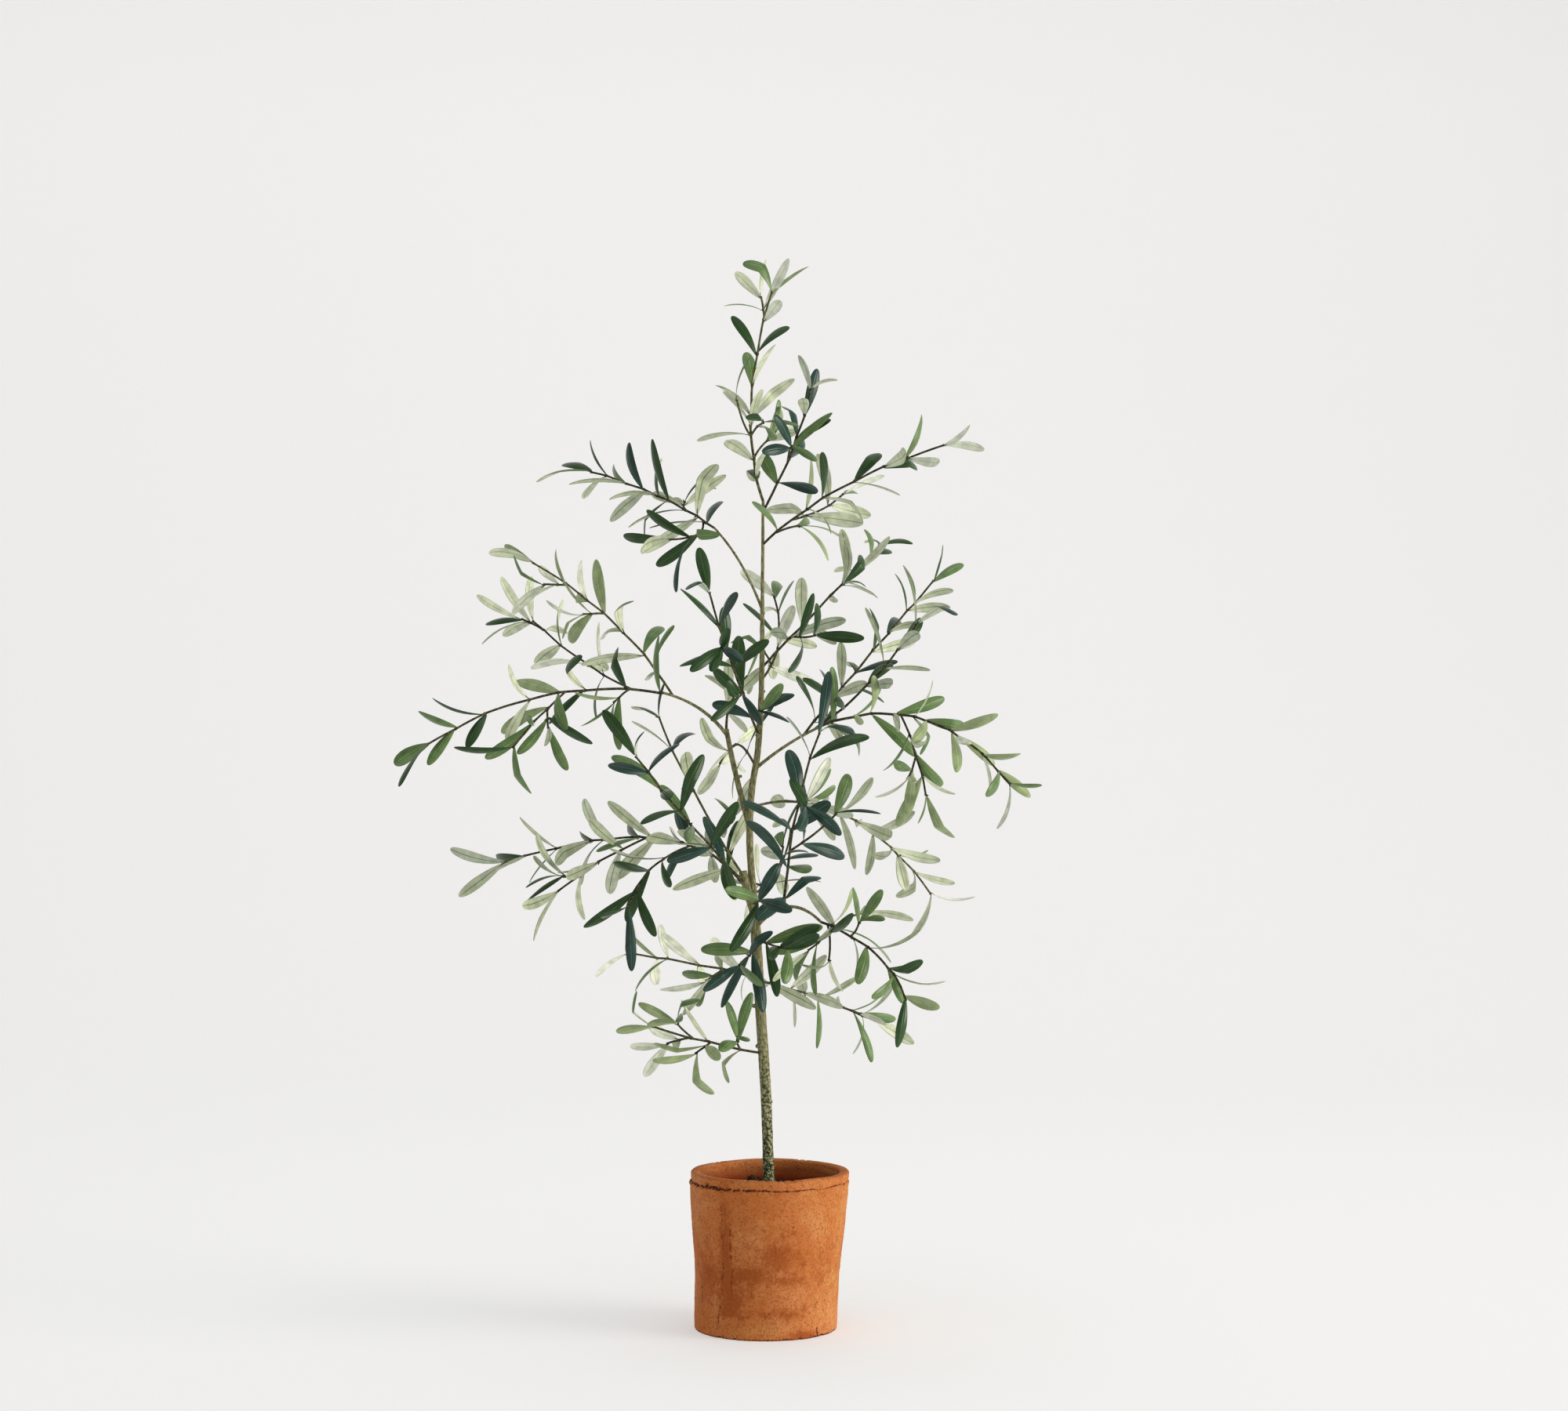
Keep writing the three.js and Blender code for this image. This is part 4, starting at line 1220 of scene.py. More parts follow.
def chance_from(seed):
    """A small generator that gives each shoot its own fixed run of chance, from 0 to 1."""
    modulus, multiplier, seed_step, warm_up = 2147483647, 48271, 7919, 4
    state = seed * seed_step
    while True:
        state = state * multiplier % modulus
        if warm_up:
            warm_up -= 1
        else:
            yield state / modulus


def fitting_leaf(place, turn, draw, owner, spray_name):
    """The leaf at a place, swung round its shoot until it is clear of everything, or None."""
    for swing in SWINGS:
        leaf = leaf_from(place, turn + swing, draw)
        group = leaf_group(leaf, owner, spray_name)
        if is_clear(group):
            taken.append(group)
            return leaf
    return None


def grow_shoot(shoot, spray):
    """Grows the pairs of leaves along one shoot, and keeps its twig with the knuckles under them."""
    chance = chance_from(shoot.seed)
    limb = shoot.limb
    count = max(1, round(limb.length * (1 - shoot.bare) / shoot.spacing))
    first_turn = next(chance) * math.pi
    knuckles = []
    for i in range(count + 1):
        owner = f"pair {next(PAIR_NUMBERS)}"
        stray = 0 if i == count else spread(PAIR_STRAY / count, next(chance))
        part = min(1, share(shoot.bare, 1, i / count) + stray)
        turn = first_turn + i * math.pi / 2 + spread(TURN_SPREAD, next(chance))
        knuckles.append(part)
        for half in (0, 1):
            draw = Draw(*[next(chance) for _ in Draw._fields])
            root_part = max(0, part - half * PAIR_STAGGER / limb.length)
            lean = share(LEAN_AT_FOOT, LEAN_AT_TIP, part)
            scale = shoot.leaf * share(1, TIP_LEAF, part)
            place = (limb.route(root_part), heading(limb.route, root_part), lean, scale, shoot.shows)
            leaf_turn = turn + half * math.pi + spread(TURN_SPREAD / 2, draw.turn)
            forks = shoot.may_fork and i < count and draw.spur < SPUR_SHARE
            if forks and grow_spur(place, leaf_turn, draw, shoot, spray, f"spur {half} of {owner}"):
                continue
            leaf = fitting_leaf(place, leaf_turn, draw, owner, spray.name)
            if leaf:
                leaf.tint = shoot.tint
                spray.leaves.append(leaf)
    spray.twigs.append((limb, knuckles))


def grow_spur(place, turn, draw, shoot, spray, owner):
    """Grows a short side twig where a leaf would stand. Returns whether there was room for it."""
    root = place[0]
    leaf = leaf_from(place, turn, draw)
    length = share(*SPUR_LENGTH, draw.length)
    route = bent_route(root, root + leaf.axis * length, leaf.face * SPUR_BEND * length)
    spur = Limb(route, length, lambda part: TWIG_TIP_RADIUS)
    groups = list(limb_groups(spur, owner, spray.name))
    if not all(is_clear(group) for group in groups):
        return False
    taken.extend(groups)
    seed = math.floor(draw.curl * SPUR_SEEDS) + 1
    leaf_size = shoot.leaf * SPUR_LEAF
    grow_shoot(replace(shoot, limb=spur, seed=seed, bare=SPUR_BARE, leaf=leaf_size, may_fork=False), spray)
    return True


def lay_spray(name, spec):
    """The stem and side twigs of a spray, before any leaf grows."""
    stem = place_limb(spec, limbs[spec["on"]], spec["radius"], TWIG_TIP_RADIUS)
    look = dict(leaf=spec.get("leaf", 1), shows=spec.get("shows", "both"), tint=spec["tint"])
    look["spacing"] = SPACING_OF.get(name, PAIR_SPACING)
    shoots = [Shoot(stem, spec["seed"], spec["bare"], **look)]
    for i, twig in enumerate(spec.get("twigs", [])):
        side = place_limb(twig, stem, TWIG_TIP_RADIUS, TWIG_TIP_RADIUS)
        shoots.append(Shoot(side, spec["seed"] + TWIG_SEED_STEP * (i + 1), TWIG_BARE, **look))
    for shoot in shoots:
        taken.extend(limb_groups(shoot.limb, name, name))
    return Spray(name, shoots, [], [])


for name, limb in limbs.items():
    taken.extend(limb_groups(limb, name, name))
sprays = [lay_spray(name, spec) for name, spec in SPRAYS.items()]
for spray in sprays:
    for shoot in spray.shoots:
        grow_shoot(shoot, spray)
print("grown:", sum(len(s.leaves) for s in sprays), "leaves on", sum(len(s.twigs) for s in sprays), "twigs")

# %% [markdown]
# Tubes along paths
#
# Trunk, boughs, twigs and leaf stalks are all tubes along a path, so one Geometry Nodes tree makes them. It
# takes a mesh of loose edges whose points carry a radius, sweeps a circle along each chain, and pushes the
# surface in and out by noise. The noise is stretched along the tree, as the grain of bark is.

# %% The tube tree
def new_tree(name, inputs):
    """An empty Geometry Nodes tree with a geometry in and out, and named inputs with their default values."""
    tree = bpy.data.node_groups.new(name, "GeometryNodeTree")
    tree.interface.new_socket("Geometry", in_out="INPUT", socket_type="NodeSocketGeometry")
    tree.interface.new_socket("Geometry", in_out="OUTPUT", socket_type="NodeSocketGeometry")
    for label, (kind, value) in inputs.items():
        made = tree.interface.new_socket(label, in_out="INPUT", socket_type=f"NodeSocket{kind}")
        if value is not None:
            made.default_value = value
    start = tree.nodes.new("NodeGroupInput")
    return tree, start.outputs


def finish_tree(tree, geometry):
    end = tree.nodes.new("NodeGroupOutput")
    tree.links.new(geometry, end.inputs[0])
    return tree


def tube_tree():
    inputs = {
        "Sides": ("Int", 10),
        "Relief": ("Float", 0.0),
        "Grain size": ("Float", 4 * MM),
        "Grain stretch": ("Float", 0.25),
        "Material": ("Material", None),
    }
    tree, given = new_tree("tube_along_path", inputs)
    path = add(tree, "GeometryNodeMeshToCurve", {"Mesh": given["Geometry"]}).outputs["Curve"]
    circle = add(tree, "GeometryNodeCurvePrimitiveCircle", {"Resolution": given["Sides"], "Radius": 1.0})
    thickness = add(tree, "GeometryNodeInputNamedAttribute", {"Name": "thickness"}, data_type="FLOAT")
    swept = {"Curve": path, "Profile Curve": circle.outputs["Curve"], "Fill Caps": True}
    swept["Scale"] = thickness.outputs["Attribute"]
    tube = add(tree, "GeometryNodeCurveToMesh", swept)
    place = add(tree, "GeometryNodeInputPosition").outputs[0]
    stretch = add(tree, "ShaderNodeCombineXYZ", {"X": 1.0, "Y": 1.0, "Z": given["Grain stretch"]}).outputs[0]
    place = add(tree, "ShaderNodeVectorMath", {0: place, 1: stretch}, operation="MULTIPLY").outputs[0]
    scale = add(tree, "ShaderNodeMath", {0: 1.0, 1: given["Grain size"]}, operation="DIVIDE").outputs[0]
    bark = add(tree, "ShaderNodeTexNoise", {"Vector": place, "Scale": scale, "Detail": 4.0}).outputs[0]
    level = add(tree, "ShaderNodeMath", {0: bark, 1: 0.5}, operation="SUBTRACT").outputs[0]
    depth = add(tree, "ShaderNodeMath", {0: level, 1: given["Relief"]}, operation="MULTIPLY").outputs[0]
    normal = add(tree, "GeometryNodeInputNormal").outputs[0]
    push = add(tree, "ShaderNodeVectorMath", {0: normal, "Scale": depth}, operation="SCALE").outputs[0]
    moved = add(tree, "GeometryNodeSetPosition", {"Geometry": tube.outputs["Mesh"], "Offset": push})
    shaded = add(tree, "GeometryNodeSetShadeSmooth", {"Geometry": moved.outputs[0]})
    real = add(tree, "GeometryNodeRealizeInstances", {"Geometry": shaded.outputs[0]})
    done = add(tree, "GeometryNodeSetMaterial", {"Geometry": real.outputs[0], "Material": given["Material"]})
    return finish_tree(tree, done.outputs[0])


TUBES = tube_tree()
print("tube tree:", len(TUBES.nodes), "nodes")

# %% Running a tree
def chain_object(name, chains, vectors=()):
    """Loose edges along chains of points. A point is its place and radius in mm, then each named vector."""
    points = [point for chain in chains for point in chain]
    edges, first = [], 0
    for chain in chains:
        edges += [(first + i, first + i + 1) for i in range(len(chain) - 1)]
        first += len(chain)
    mesh = bpy.data.meshes.new(name)
    mesh.from_pydata([(np.asarray(point[0]) * MM).tolist() for point in points], edges, [])
    kept = mesh.attributes.new("thickness", "FLOAT", "POINT")
    kept.data.foreach_set("value", [point[1] * MM for point in points])
    for column, label in enumerate(vectors, 2):
        kept = mesh.attributes.new(label, "FLOAT_VECTOR", "POINT")
        kept.data.foreach_set("vector", np.array([point[column] for point in points], float).ravel())
    made = bpy.data.objects.new(name, mesh)
    bpy.context.scene.collection.objects.link(made)
    return made


def run_tree(source, tree, **values):
    """Runs a Geometry Nodes tree on an object, and leaves the result as that object's plain mesh."""
    modifier = source.modifiers.new("shape", "NODES")
    modifier.node_group = tree
    names = {item.name: item.identifier for item in tree.interface.items_tree if item.in_out == "INPUT"}
    for label, value in values.items():
        modifier[names[label.replace("_", " ")]] = value
    bpy.context.view_layer.update()
    shaped = source.evaluated_get(bpy.context.evaluated_depsgraph_get())
    mesh = bpy.data.meshes.new_from_object(shaped)
    source.modifiers.remove(modifier)
    old, source.data = source.data, mesh
    mesh.name = source.name
    bpy.data.meshes.remove(old)
    return source


# %% [markdown]
# Bark
#
# The trunk is plastic cast on a wire from a mould of real bark, then brushed and spattered with paint. That
# makes it matt and rough to the eye: a khaki ground with fine upright streaks, brushed green near the pot,
# with dark pores and pale flecks, as lichen is, that thin out higher up. Real pores and flecks are about a
# millimetre wide, too fine to show from here, so they are drawn 3.7 mm wide. The twigs are plain
# paper-wrapped wire, dull, dark brown on most sprays and olive on some.

# %% Bark
STREAK_WIDTH = 2.6
STREAK_COLOURS = [(0.34, "#46452C"), (0.46, "#6E6C4A"), (0.58, "#8A8662"), (0.68, "#ADA783")]
MOSS_WIDTH = 9
SPECK_WIDTH = 3.7

# A layer lies where its pattern passes from the first limit to the second. It covers a share `most` up to
# the height `full`, and is gone at the height `gone`, in millimetres.
BARK_LAYERS = [
    dict(colour="#3F4C24", pattern="moss", limits=(0.3, 0.6), full=220, gone=420, most=1.0),
    dict(colour="#1C200C", pattern="specks", limits=(0.49, 0.43), full=250, gone=520, most=0.85),
    dict(colour="#C0C19C", pattern="specks", limits=(0.53, 0.58), full=220, gone=500, most=0.75),
]


def cast_bark():
    material, tree, shader = new_material("cast_bark", "#77745A", 0.85, Specular_IOR_Level=0.25)
    where = add(tree, "ShaderNodeTexCoord").outputs["Object"]
    height = add(tree, "ShaderNodeSeparateXYZ", {0: where}).outputs["Z"]
    streaks = grain(tree, where, STREAK_WIDTH, detail=6, roughness=0.65, stretch=(1, 1, 0.3))
    colour = add(tree, "ShaderNodeValToRGB", {"Fac": streaks}, stops=STREAK_COLOURS).outputs["Color"]
    moss = grain(tree, where, MOSS_WIDTH, detail=4, roughness=0.6)
    specks = grain(tree, where, SPECK_WIDTH, detail=3, roughness=0.65)
    patterns = {"moss": moss, "specks": specks}
    for layer in BARK_LAYERS:
        fade = {"Value": height, "From Min": layer["gone"] * MM, "From Max": layer["full"] * MM}
        fade["To Max"] = layer["most"]
        most = add(tree, "ShaderNodeMapRange", fade, interpolation_type="SMOOTHSTEP").outputs[0]
        colour = lay_over(tree, colour, layer["colour"], patterns[layer["pattern"]], *layer["limits"], most)
    finish_shader(tree, shader, colour, specks, depth=0.6, strength=0.8)
    return material


BARK = cast_bark()
print("bark:", len(BARK_LAYERS), "layers over the streaks")

# %% Wire for the twigs
DYE_BLOTCH = 5
WRAP_WIDTH = 1.2


def wrapped_wire(name, dark, light):
    """Wire in a skin of dyed paper. It is dull, and blotched where the dye took unevenly."""
    material, tree, shader = new_material(name, dark, 0.8, Specular_IOR_Level=0.2)
    where = add(tree, "ShaderNodeTexCoord").outputs["Object"]
    colour = lay_over(tree, dark, light, grain(tree, where, DYE_BLOTCH, detail=4, roughness=0.6), 0.4, 0.68)
    wraps = grain(tree, where, WRAP_WIDTH, detail=3, roughness=0.6)
    finish_shader(tree, shader, colour, wraps, depth=0.2, strength=0.6)
    return material


WIRES = {
    "brown": wrapped_wire("brown_wrapped_wire", "#2A2A19", "#5F5C3F"),
    "olive": wrapped_wire("olive_wrapped_wire", "#434428", "#7A784F"),
}
print("wires:", ", ".join(WIRES))

# %% [markdown]
# Trunk and boughs
#
# The trunk keeps the stumps of twigs that were trimmed from the mould, and a thick branch that was sawn off
# flat, from which three sprays rise. A stump is a short tube of its own, sunk in the trunk.

# %% Trunk, stumps and boughs
TRUNK_STEP = 2.0
BOUGH_STEP = 2.5

# Each stump stands on a limb at a height and points along `to`. `out` is how far it stands out.
STUMPS = [
    dict(on="trunk", height=457, to=(-1, -0.3, 0.25), out=8, radius=3.2),
    dict(on="trunk", height=398, to=(-1, -0.5, 0.5), out=4, radius=3.4),
    dict(on="trunk", height=843, to=(-0.3, -1, 0.35), out=5.5, radius=3.6),
    dict(on="second_stem", at=0.5, to=(1, -0.4, 0.3), out=4, radius=2.6),
    dict(on="trunk", height=318, to=(0.7, 0.6, 0.3), out=3, radius=2.8),
    dict(on="trunk", height=905, to=(0.8, 0.5, 0.6), out=3, radius=2.0),
]


def limb_chain(limb, step):
    steps = math.ceil(limb.length / step)
    parts = [i / steps for i in range(steps + 1)]
    return [(limb.route(part), limb.radius_at(part)) for part in parts]


def stump_chain(spec):
    limb = limbs[spec["on"]]
    at = trunk_share(spec["height"]) if "height" in spec else spec["at"]
    foot, surface = limb.route(at), limb.radius_at(at)
    to = unit(np.array(spec["to"], float))
    stations = [(0, 1.25), (0.55 * surface, 1.2), (surface, 1.0), (surface + 0.5 * spec["out"], 0.85)]
    stations.append((surface + spec["out"], 0.8))
    return [(foot + to * run, spec["radius"] * size) for run, size in stations]


trunk = chain_object("cast_trunk", [limb_chain(limbs["trunk"], TRUNK_STEP)])
run_tree(trunk, TUBES, Sides=36, Relief=1.5 * MM, Grain_size=5 * MM, Grain_stretch=0.3, Material=BARK)
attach(trunk, "root")
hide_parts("trunk")

bough_chains = [limb_chain(limbs[name], BOUGH_STEP) for name in BOUGHS]
bough_chains += [stump_chain(spec) for spec in STUMPS]
boughs = chain_object("cast_boughs", bough_chains)
run_tree(boughs, TUBES, Sides=24, Relief=1.0 * MM, Grain_size=4 * MM, Grain_stretch=0.35, Material=BARK)
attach(boughs, "root")
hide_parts(*BOUGHS)
print("trunk:", len(trunk.data.polygons), "faces, boughs and stumps:", len(boughs.data.polygons))

# %% [markdown]
# Twigs
#
# A twig is drawn from its foot over every knuckle. At a knuckle the wire is wrapped twice, so it is thicker,
# and some knuckles keep a bud, a thorn of paper that stands out 3 or 4 mm. Every leaf hangs on a stalk of
# wrapped wire, under 2 mm thick.

# %% Twigs, buds and stalks
TWIG_STEP = 7
LEAST_STEP = 0.5
KNUCKLE_REACH = 2.2
KNUCKLE_WIDTH = 1.4
KNUCKLE_SWELL = 0.42
WRAP_THICKNESS = 0.25
ZIGZAG = 0.9
ZIGZAG_AXIS = (0.3, 1, 0.2)
TIP_THINNING = 0.9
BUD_SHARE = 0.45
BUD_LEAN = 0.7
BUD_SEED = 500

# The radius along a bud, and along a stalk by the share of its leaf's length.
BUD_SHAPE = ((0, 1.3), (2, 1.15), (3.8, 0.8), (5.2, 0.25))
STALK_SHAPE = ((0, 0.95), (0.0275, 0.75), (0.055, 0.62), (0.121, 0.3))
OLIVE_SPRAYS = {
    "leader_spray",
    "left_upper_spray",
    "mid_right_spray",
    "inner_left_spray",
    "low_back_left_spray",
}


def twig_chain(limb, knuckles):
    """A twig that is thicker at its knuckles, and swerves a little from each to the next."""
    swerves = [0] + [ZIGZAG * (-1) ** i for i in range(len(knuckles))]
    swells = [(part + step / limb.length) for part in knuckles for step in (-KNUCKLE_REACH, 0, KNUCKLE_REACH)]
    steps = math.ceil(limb.length / TWIG_STEP)
    even = [i / steps for i in range(steps + 1)]
    parts = sorted({min(max(part, 0), 1) for part in swells + even})
    least = LEAST_STEP / limb.length
    parts = [part for i, part in enumerate(parts) if i == 0 or part - parts[i - 1] > least]
    chain = []
    for part in parts:
        near = min(abs(part - knuckle) * limb.length for knuckle in knuckles)
        swell = 1 + KNUCKLE_SWELL * hill(near, 0, KNUCKLE_WIDTH)
        ahead = heading(limb.route, part)
        aside = unit(np.cross(ahead, ZIGZAG_AXIS)) * np.interp(part, [0] + knuckles, swerves)
        radius = (limb.radius_at(part) + WRAP_THICKNESS) * share(1, TIP_THINNING, part) * swell
        chain.append((limb.route(part) + aside, radius))
    return chain


def bud_chain(limb, part, chance):
    ahead = heading(limb.route, part)
    turn = math.tau * chance
    side = unit(np.cross(ahead, (math.cos(turn), 0.3, math.sin(turn))))
    to = unit(ahead * BUD_LEAN + side)
    foot = limb.route(part)
    return [(foot + to * run, radius) for run, radius in BUD_SHAPE]


def stalk_chain(leaf):
    return [(leaf.at(part)[0], radius) for part, radius in STALK_SHAPE]


wire_chains = {"brown": [], "olive": []}
for spray in sprays:
    wire = wire_chains["olive" if spray.name in OLIVE_SPRAYS else "brown"]
    chance = chance_from(len(spray.leaves) + BUD_SEED)
    for limb, knuckles in spray.twigs:
        wire.append(twig_chain(limb, knuckles))
        wire += [bud_chain(limb, part, next(chance)) for part in knuckles if next(chance) < BUD_SHARE]
    wire += [stalk_chain(leaf) for leaf in spray.leaves]

for lot, chains in wire_chains.items():
    twigs = chain_object(f"{lot}_twigs", chains)
    wrapping = dict(Relief=0.35 * MM, Grain_size=3 * MM, Grain_stretch=0.6, Material=WIRES[lot])
    run_tree(twigs, TUBES, Sides=8, **wrapping)
    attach(twigs, "root")
    olive = lot == "olive"
    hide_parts(*[name for name in SPRAYS if (name in OLIVE_SPRAYS) == olive])
    print(f"{lot} twigs:", len(chains), "chains,", len(twigs.data.polygons), "faces")

# %% [markdown]
# Leaves
#
# The leaves are printed cloth stiffened with resin. The upper side is satin green, so light skims along it,
# with a pale midrib, and the under side is grey green and duller. Colours are plain and dealt out by dye
# lot, one lot to most leaves of a spray. The real weave has about three threads to a millimetre, and its
# relief is drawn 1.1 mm wide, or it would not show at all.

# %% Leaf cloth
DYE_LOTS = {
    "deep": dict(upper="#223E17", under="#B9C29F", rib="#45643E"),
    "slate": dict(upper="#20382E", under="#B9C2A9", rib="#4A6A5E"),
    "moss": dict(upper="#557240", under="#CDD4B6", rib="#869B67"),
    "sage": dict(upper="#8C9D6C", under="#E0E5D2", rib="#B6C29B"),
}
UNDER_VEIN = "#DDE2CF"
DYE_CLOUD = 14
DYE_VALUES = (0.8, 1.2)
VEIN_SPACING = 4.5
VEIN_SLANT = 8
PALE_FOOT = 26
WEAVE_WIDTH = 1.1


def leaf_cloth(name, colour_code, vein_code, roughness):
    """Cloth with side veins that slant from the midrib to the edge, a shade lighter than the blade.

    The mesh says how far a point lies along its leaf in millimetres, and how far across from -1 to 1. The
    blade is paler towards its stalk, and its half with `across` over 0 is painted paler, as painted light for
    the lit half of a folded blade.
    """
    material, tree, shader = new_material(name, colour_code, roughness, Specular_IOR_Level=0.26)
    where = add(tree, "ShaderNodeTexCoord").outputs["Object"]
    dyed = [{"Value": value, "Color": linear(colour_code)} for value in DYE_VALUES]
    darker, lighter = [add(tree, "ShaderNodeHueSaturation", inputs).outputs[0] for inputs in dyed]
    clouds = grain(tree, where, DYE_CLOUD, detail=3, roughness=0.5)
    colour = lay_over(tree, darker, lighter, clouds, 0.3, 0.7)
    run = add(tree, "ShaderNodeAttribute", attribute_name="run").outputs["Vector"]
    along = add(tree, "ShaderNodeSeparateXYZ", {0: run}).outputs["X"]
    across = add(tree, "ShaderNodeAttribute", attribute_name="across").outputs["Fac"]
    wave = across
    sums = [("ABSOLUTE",), ("MULTIPLY_ADD", -VEIN_SLANT, along)]
    sums += [("MULTIPLY", math.tau / VEIN_SPACING), ("SINE",)]
    for operation, *others in sums:
        wave = add(tree, "ShaderNodeMath", dict(enumerate([wave, *others])), operation=operation).outputs[0]
    colour = lay_over(tree, colour, vein_code, wave, 0.5, 1, 0.3)
    # Paler towards the stalk, and on one half of the blade as painted light, for the lit half of a fold.
    paler = []
    for value, start, end, most in ((along, PALE_FOOT, 0, 0.45), (across, 0, 0.5, 0.2)):
        limits = {"Value": value, "From Min": start, "From Max": end, "To Max": most}
        paler.append(add(tree, "ShaderNodeMapRange", limits, interpolation_type="SMOOTHSTEP").outputs[0])
    pale = add(tree, "ShaderNodeMath", dict(enumerate(paler)), operation="ADD").outputs[0]
    colour = lay_over(tree, colour, vein_code, pale, curve="LINEAR")
    weave = grain(tree, where, WEAVE_WIDTH, detail=3, roughness=0.6)
    finish_shader(tree, shader, colour, weave, depth=0.12, strength=0.5)
    return material


CLOTH = {}
for lot, codes in DYE_LOTS.items():
    CLOTH[lot] = {
        "Upper": leaf_cloth(f"{lot}_satin_upper_cloth", codes["upper"], codes["rib"], 0.3),
        "Under": leaf_cloth(f"{lot}_matt_under_cloth", codes["under"], UNDER_VEIN, 0.62),
        "Rib": leaf_cloth(f"{lot}_printed_midrib", codes["rib"], codes["rib"], 0.45),
    }
print("leaf cloths:", sum(len(cloths) for cloths in CLOTH.values()))

# %% [markdown]
# The section of a blade
#
# A blade is swept along its midrib, as a twig is, but by a flat section that arches over and has a groove in
# the middle. Curve to Mesh lays the section's x along the curve's normal, and the normal is the way that the
# leaf's upper side faces. So x is how high a point of the section rises, and y runs across it. Its points
# say which side they lie on, and the tree gives each face the upper, the under or the midrib cloth.

# %% Section of a blade
ARCH = 0.27
FOLD = 1.45
GROOVE = 0.055
KEEL = 0.0275
BLADE_THICKNESS = 0.055
RIB_HALF = 0.055
UPPER_POINTS = (-0.86, -0.6, -0.3, -RIB_HALF, 0, RIB_HALF, 0.3, 0.6, 0.86)
UNDER_POINTS = (0.8, 0.4, RIB_HALF, 0, -RIB_HALF, -0.4, -0.8)


def arch_at(across):
    return ARCH * (1 - abs(across) ** FOLD)


def blade_section():
    """A closed loop, one unit from midrib to edge. Each point carries its side, and whether it is rib."""
    loop = [(-1, 0, 0, 0)]
    for across in UPPER_POINTS:
        rise = arch_at(across) - (0 if across else GROOVE)
        loop.append((across, rise, 1, float(abs(across) <= RIB_HALF)))
    loop.append((1, 0, 0, 0))
    for across in UNDER_POINTS:
        rise = arch_at(across) - BLADE_THICKNESS - (0 if across else KEEL)
        loop.append((across, rise, -1, float(abs(across) <= RIB_HALF)))
    mesh = bpy.data.meshes.new("blade_section")
    count = len(loop)
    edges = [(i, (i + 1) % count) for i in range(count)]
    mesh.from_pydata([(rise, -across, 0) for across, rise, _, _ in loop], edges, [])
    for column, name in ((0, "across"), (2, "side"), (3, "rib")):
        kept = mesh.attributes.new(name, "FLOAT", "POINT")
        kept.data.foreach_set("value", [point[column] for point in loop])
    section = bpy.data.objects.new("blade_section", mesh)
    bpy.context.scene.collection.objects.link(section)
    return section


section = blade_section()
print("blade section:", len(section.data.vertices), "points")

# %% The leaf tree
def leaf_tree():
    inputs = {
        "Section": ("Object", None),
        "Upper": ("Material", None),
        "Under": ("Material", None),
        "Rib": ("Material", None),
    }
    tree, given = new_tree("blades_along_midribs", inputs)
    kept = {}
    for name, kind in (("up", "FLOAT_VECTOR"), ("thickness", "FLOAT"), ("side", "FLOAT"), ("rib", "FLOAT")):
        reader = add(tree, "GeometryNodeInputNamedAttribute", {"Name": name}, data_type=kind)
        kept[name] = reader.outputs["Attribute"]
    path = add(tree, "GeometryNodeMeshToCurve", {"Mesh": given["Geometry"]}).outputs["Curve"]
    facing = {"Curve": path, "Normal": kept["up"]}
    path = add(tree, "GeometryNodeSetCurveNormal", facing, mode="FREE").outputs[0]
    section = add(tree, "GeometryNodeObjectInfo", {"Object": given["Section"]}).outputs["Geometry"]
    section = add(tree, "GeometryNodeMeshToCurve", {"Mesh": section}).outputs["Curve"]
    swept = {"Curve": path, "Profile Curve": section, "Scale": kept["thickness"], "Fill Caps": True}
    blade = add(tree, "GeometryNodeCurveToMesh", swept)
    shaded = add(tree, "GeometryNodeSetShadeSmooth", {"Geometry": blade.outputs["Mesh"]})
    shape = add(tree, "GeometryNodeRealizeInstances", {"Geometry": shaded.outputs[0]}).outputs[0]
    is_under = add(tree, "FunctionNodeCompare", {0: kept["side"], 1: 0.0}, operation="LESS_THAN")
    is_rib = add(tree, "FunctionNodeCompare", {0: kept["rib"], 1: 0.9}, operation="GREATER_THAN")
    chosen = {"Upper": {}, "Under": {"Selection": is_under.outputs[0]}}
    chosen["Rib"] = {"Selection": is_rib.outputs[0]}
    for cloth, selection in chosen.items():
        inputs = {"Geometry": shape, "Material": given[cloth]} | selection
        shape = add(tree, "GeometryNodeSetMaterial", inputs).outputs[0]
    return finish_tree(tree, shape)


BLADES = leaf_tree()
print("leaf tree:", len(BLADES.nodes), "nodes")

# %% Leaves in their dye lots
LOTS_BESIDE = {
    "deep": ("slate", "moss"),
    "slate": ("deep", "moss"),
    "moss": ("deep", "sage"),
    "sage": ("moss", "moss"),
}
STRAY_SHARE = 0.2
LOT_SEED = 900
STATIONS = (0.045, 0.09, 0.16, 0.26, 0.38, 0.5, KINK_AT, 0.6, 0.7, 0.8, 0.875, 0.93, 0.965, 0.987, 1.0)


def blade_chain(leaf):
    chain = []
    for part in STATIONS:
        point, _, up = leaf.at(part)
        half = leaf.width_at(part) / 2 if part < 1 else STALK_WIDTH / 4
        chain.append((point, half, up, (part * leaf.length, 0, 0)))
    return chain


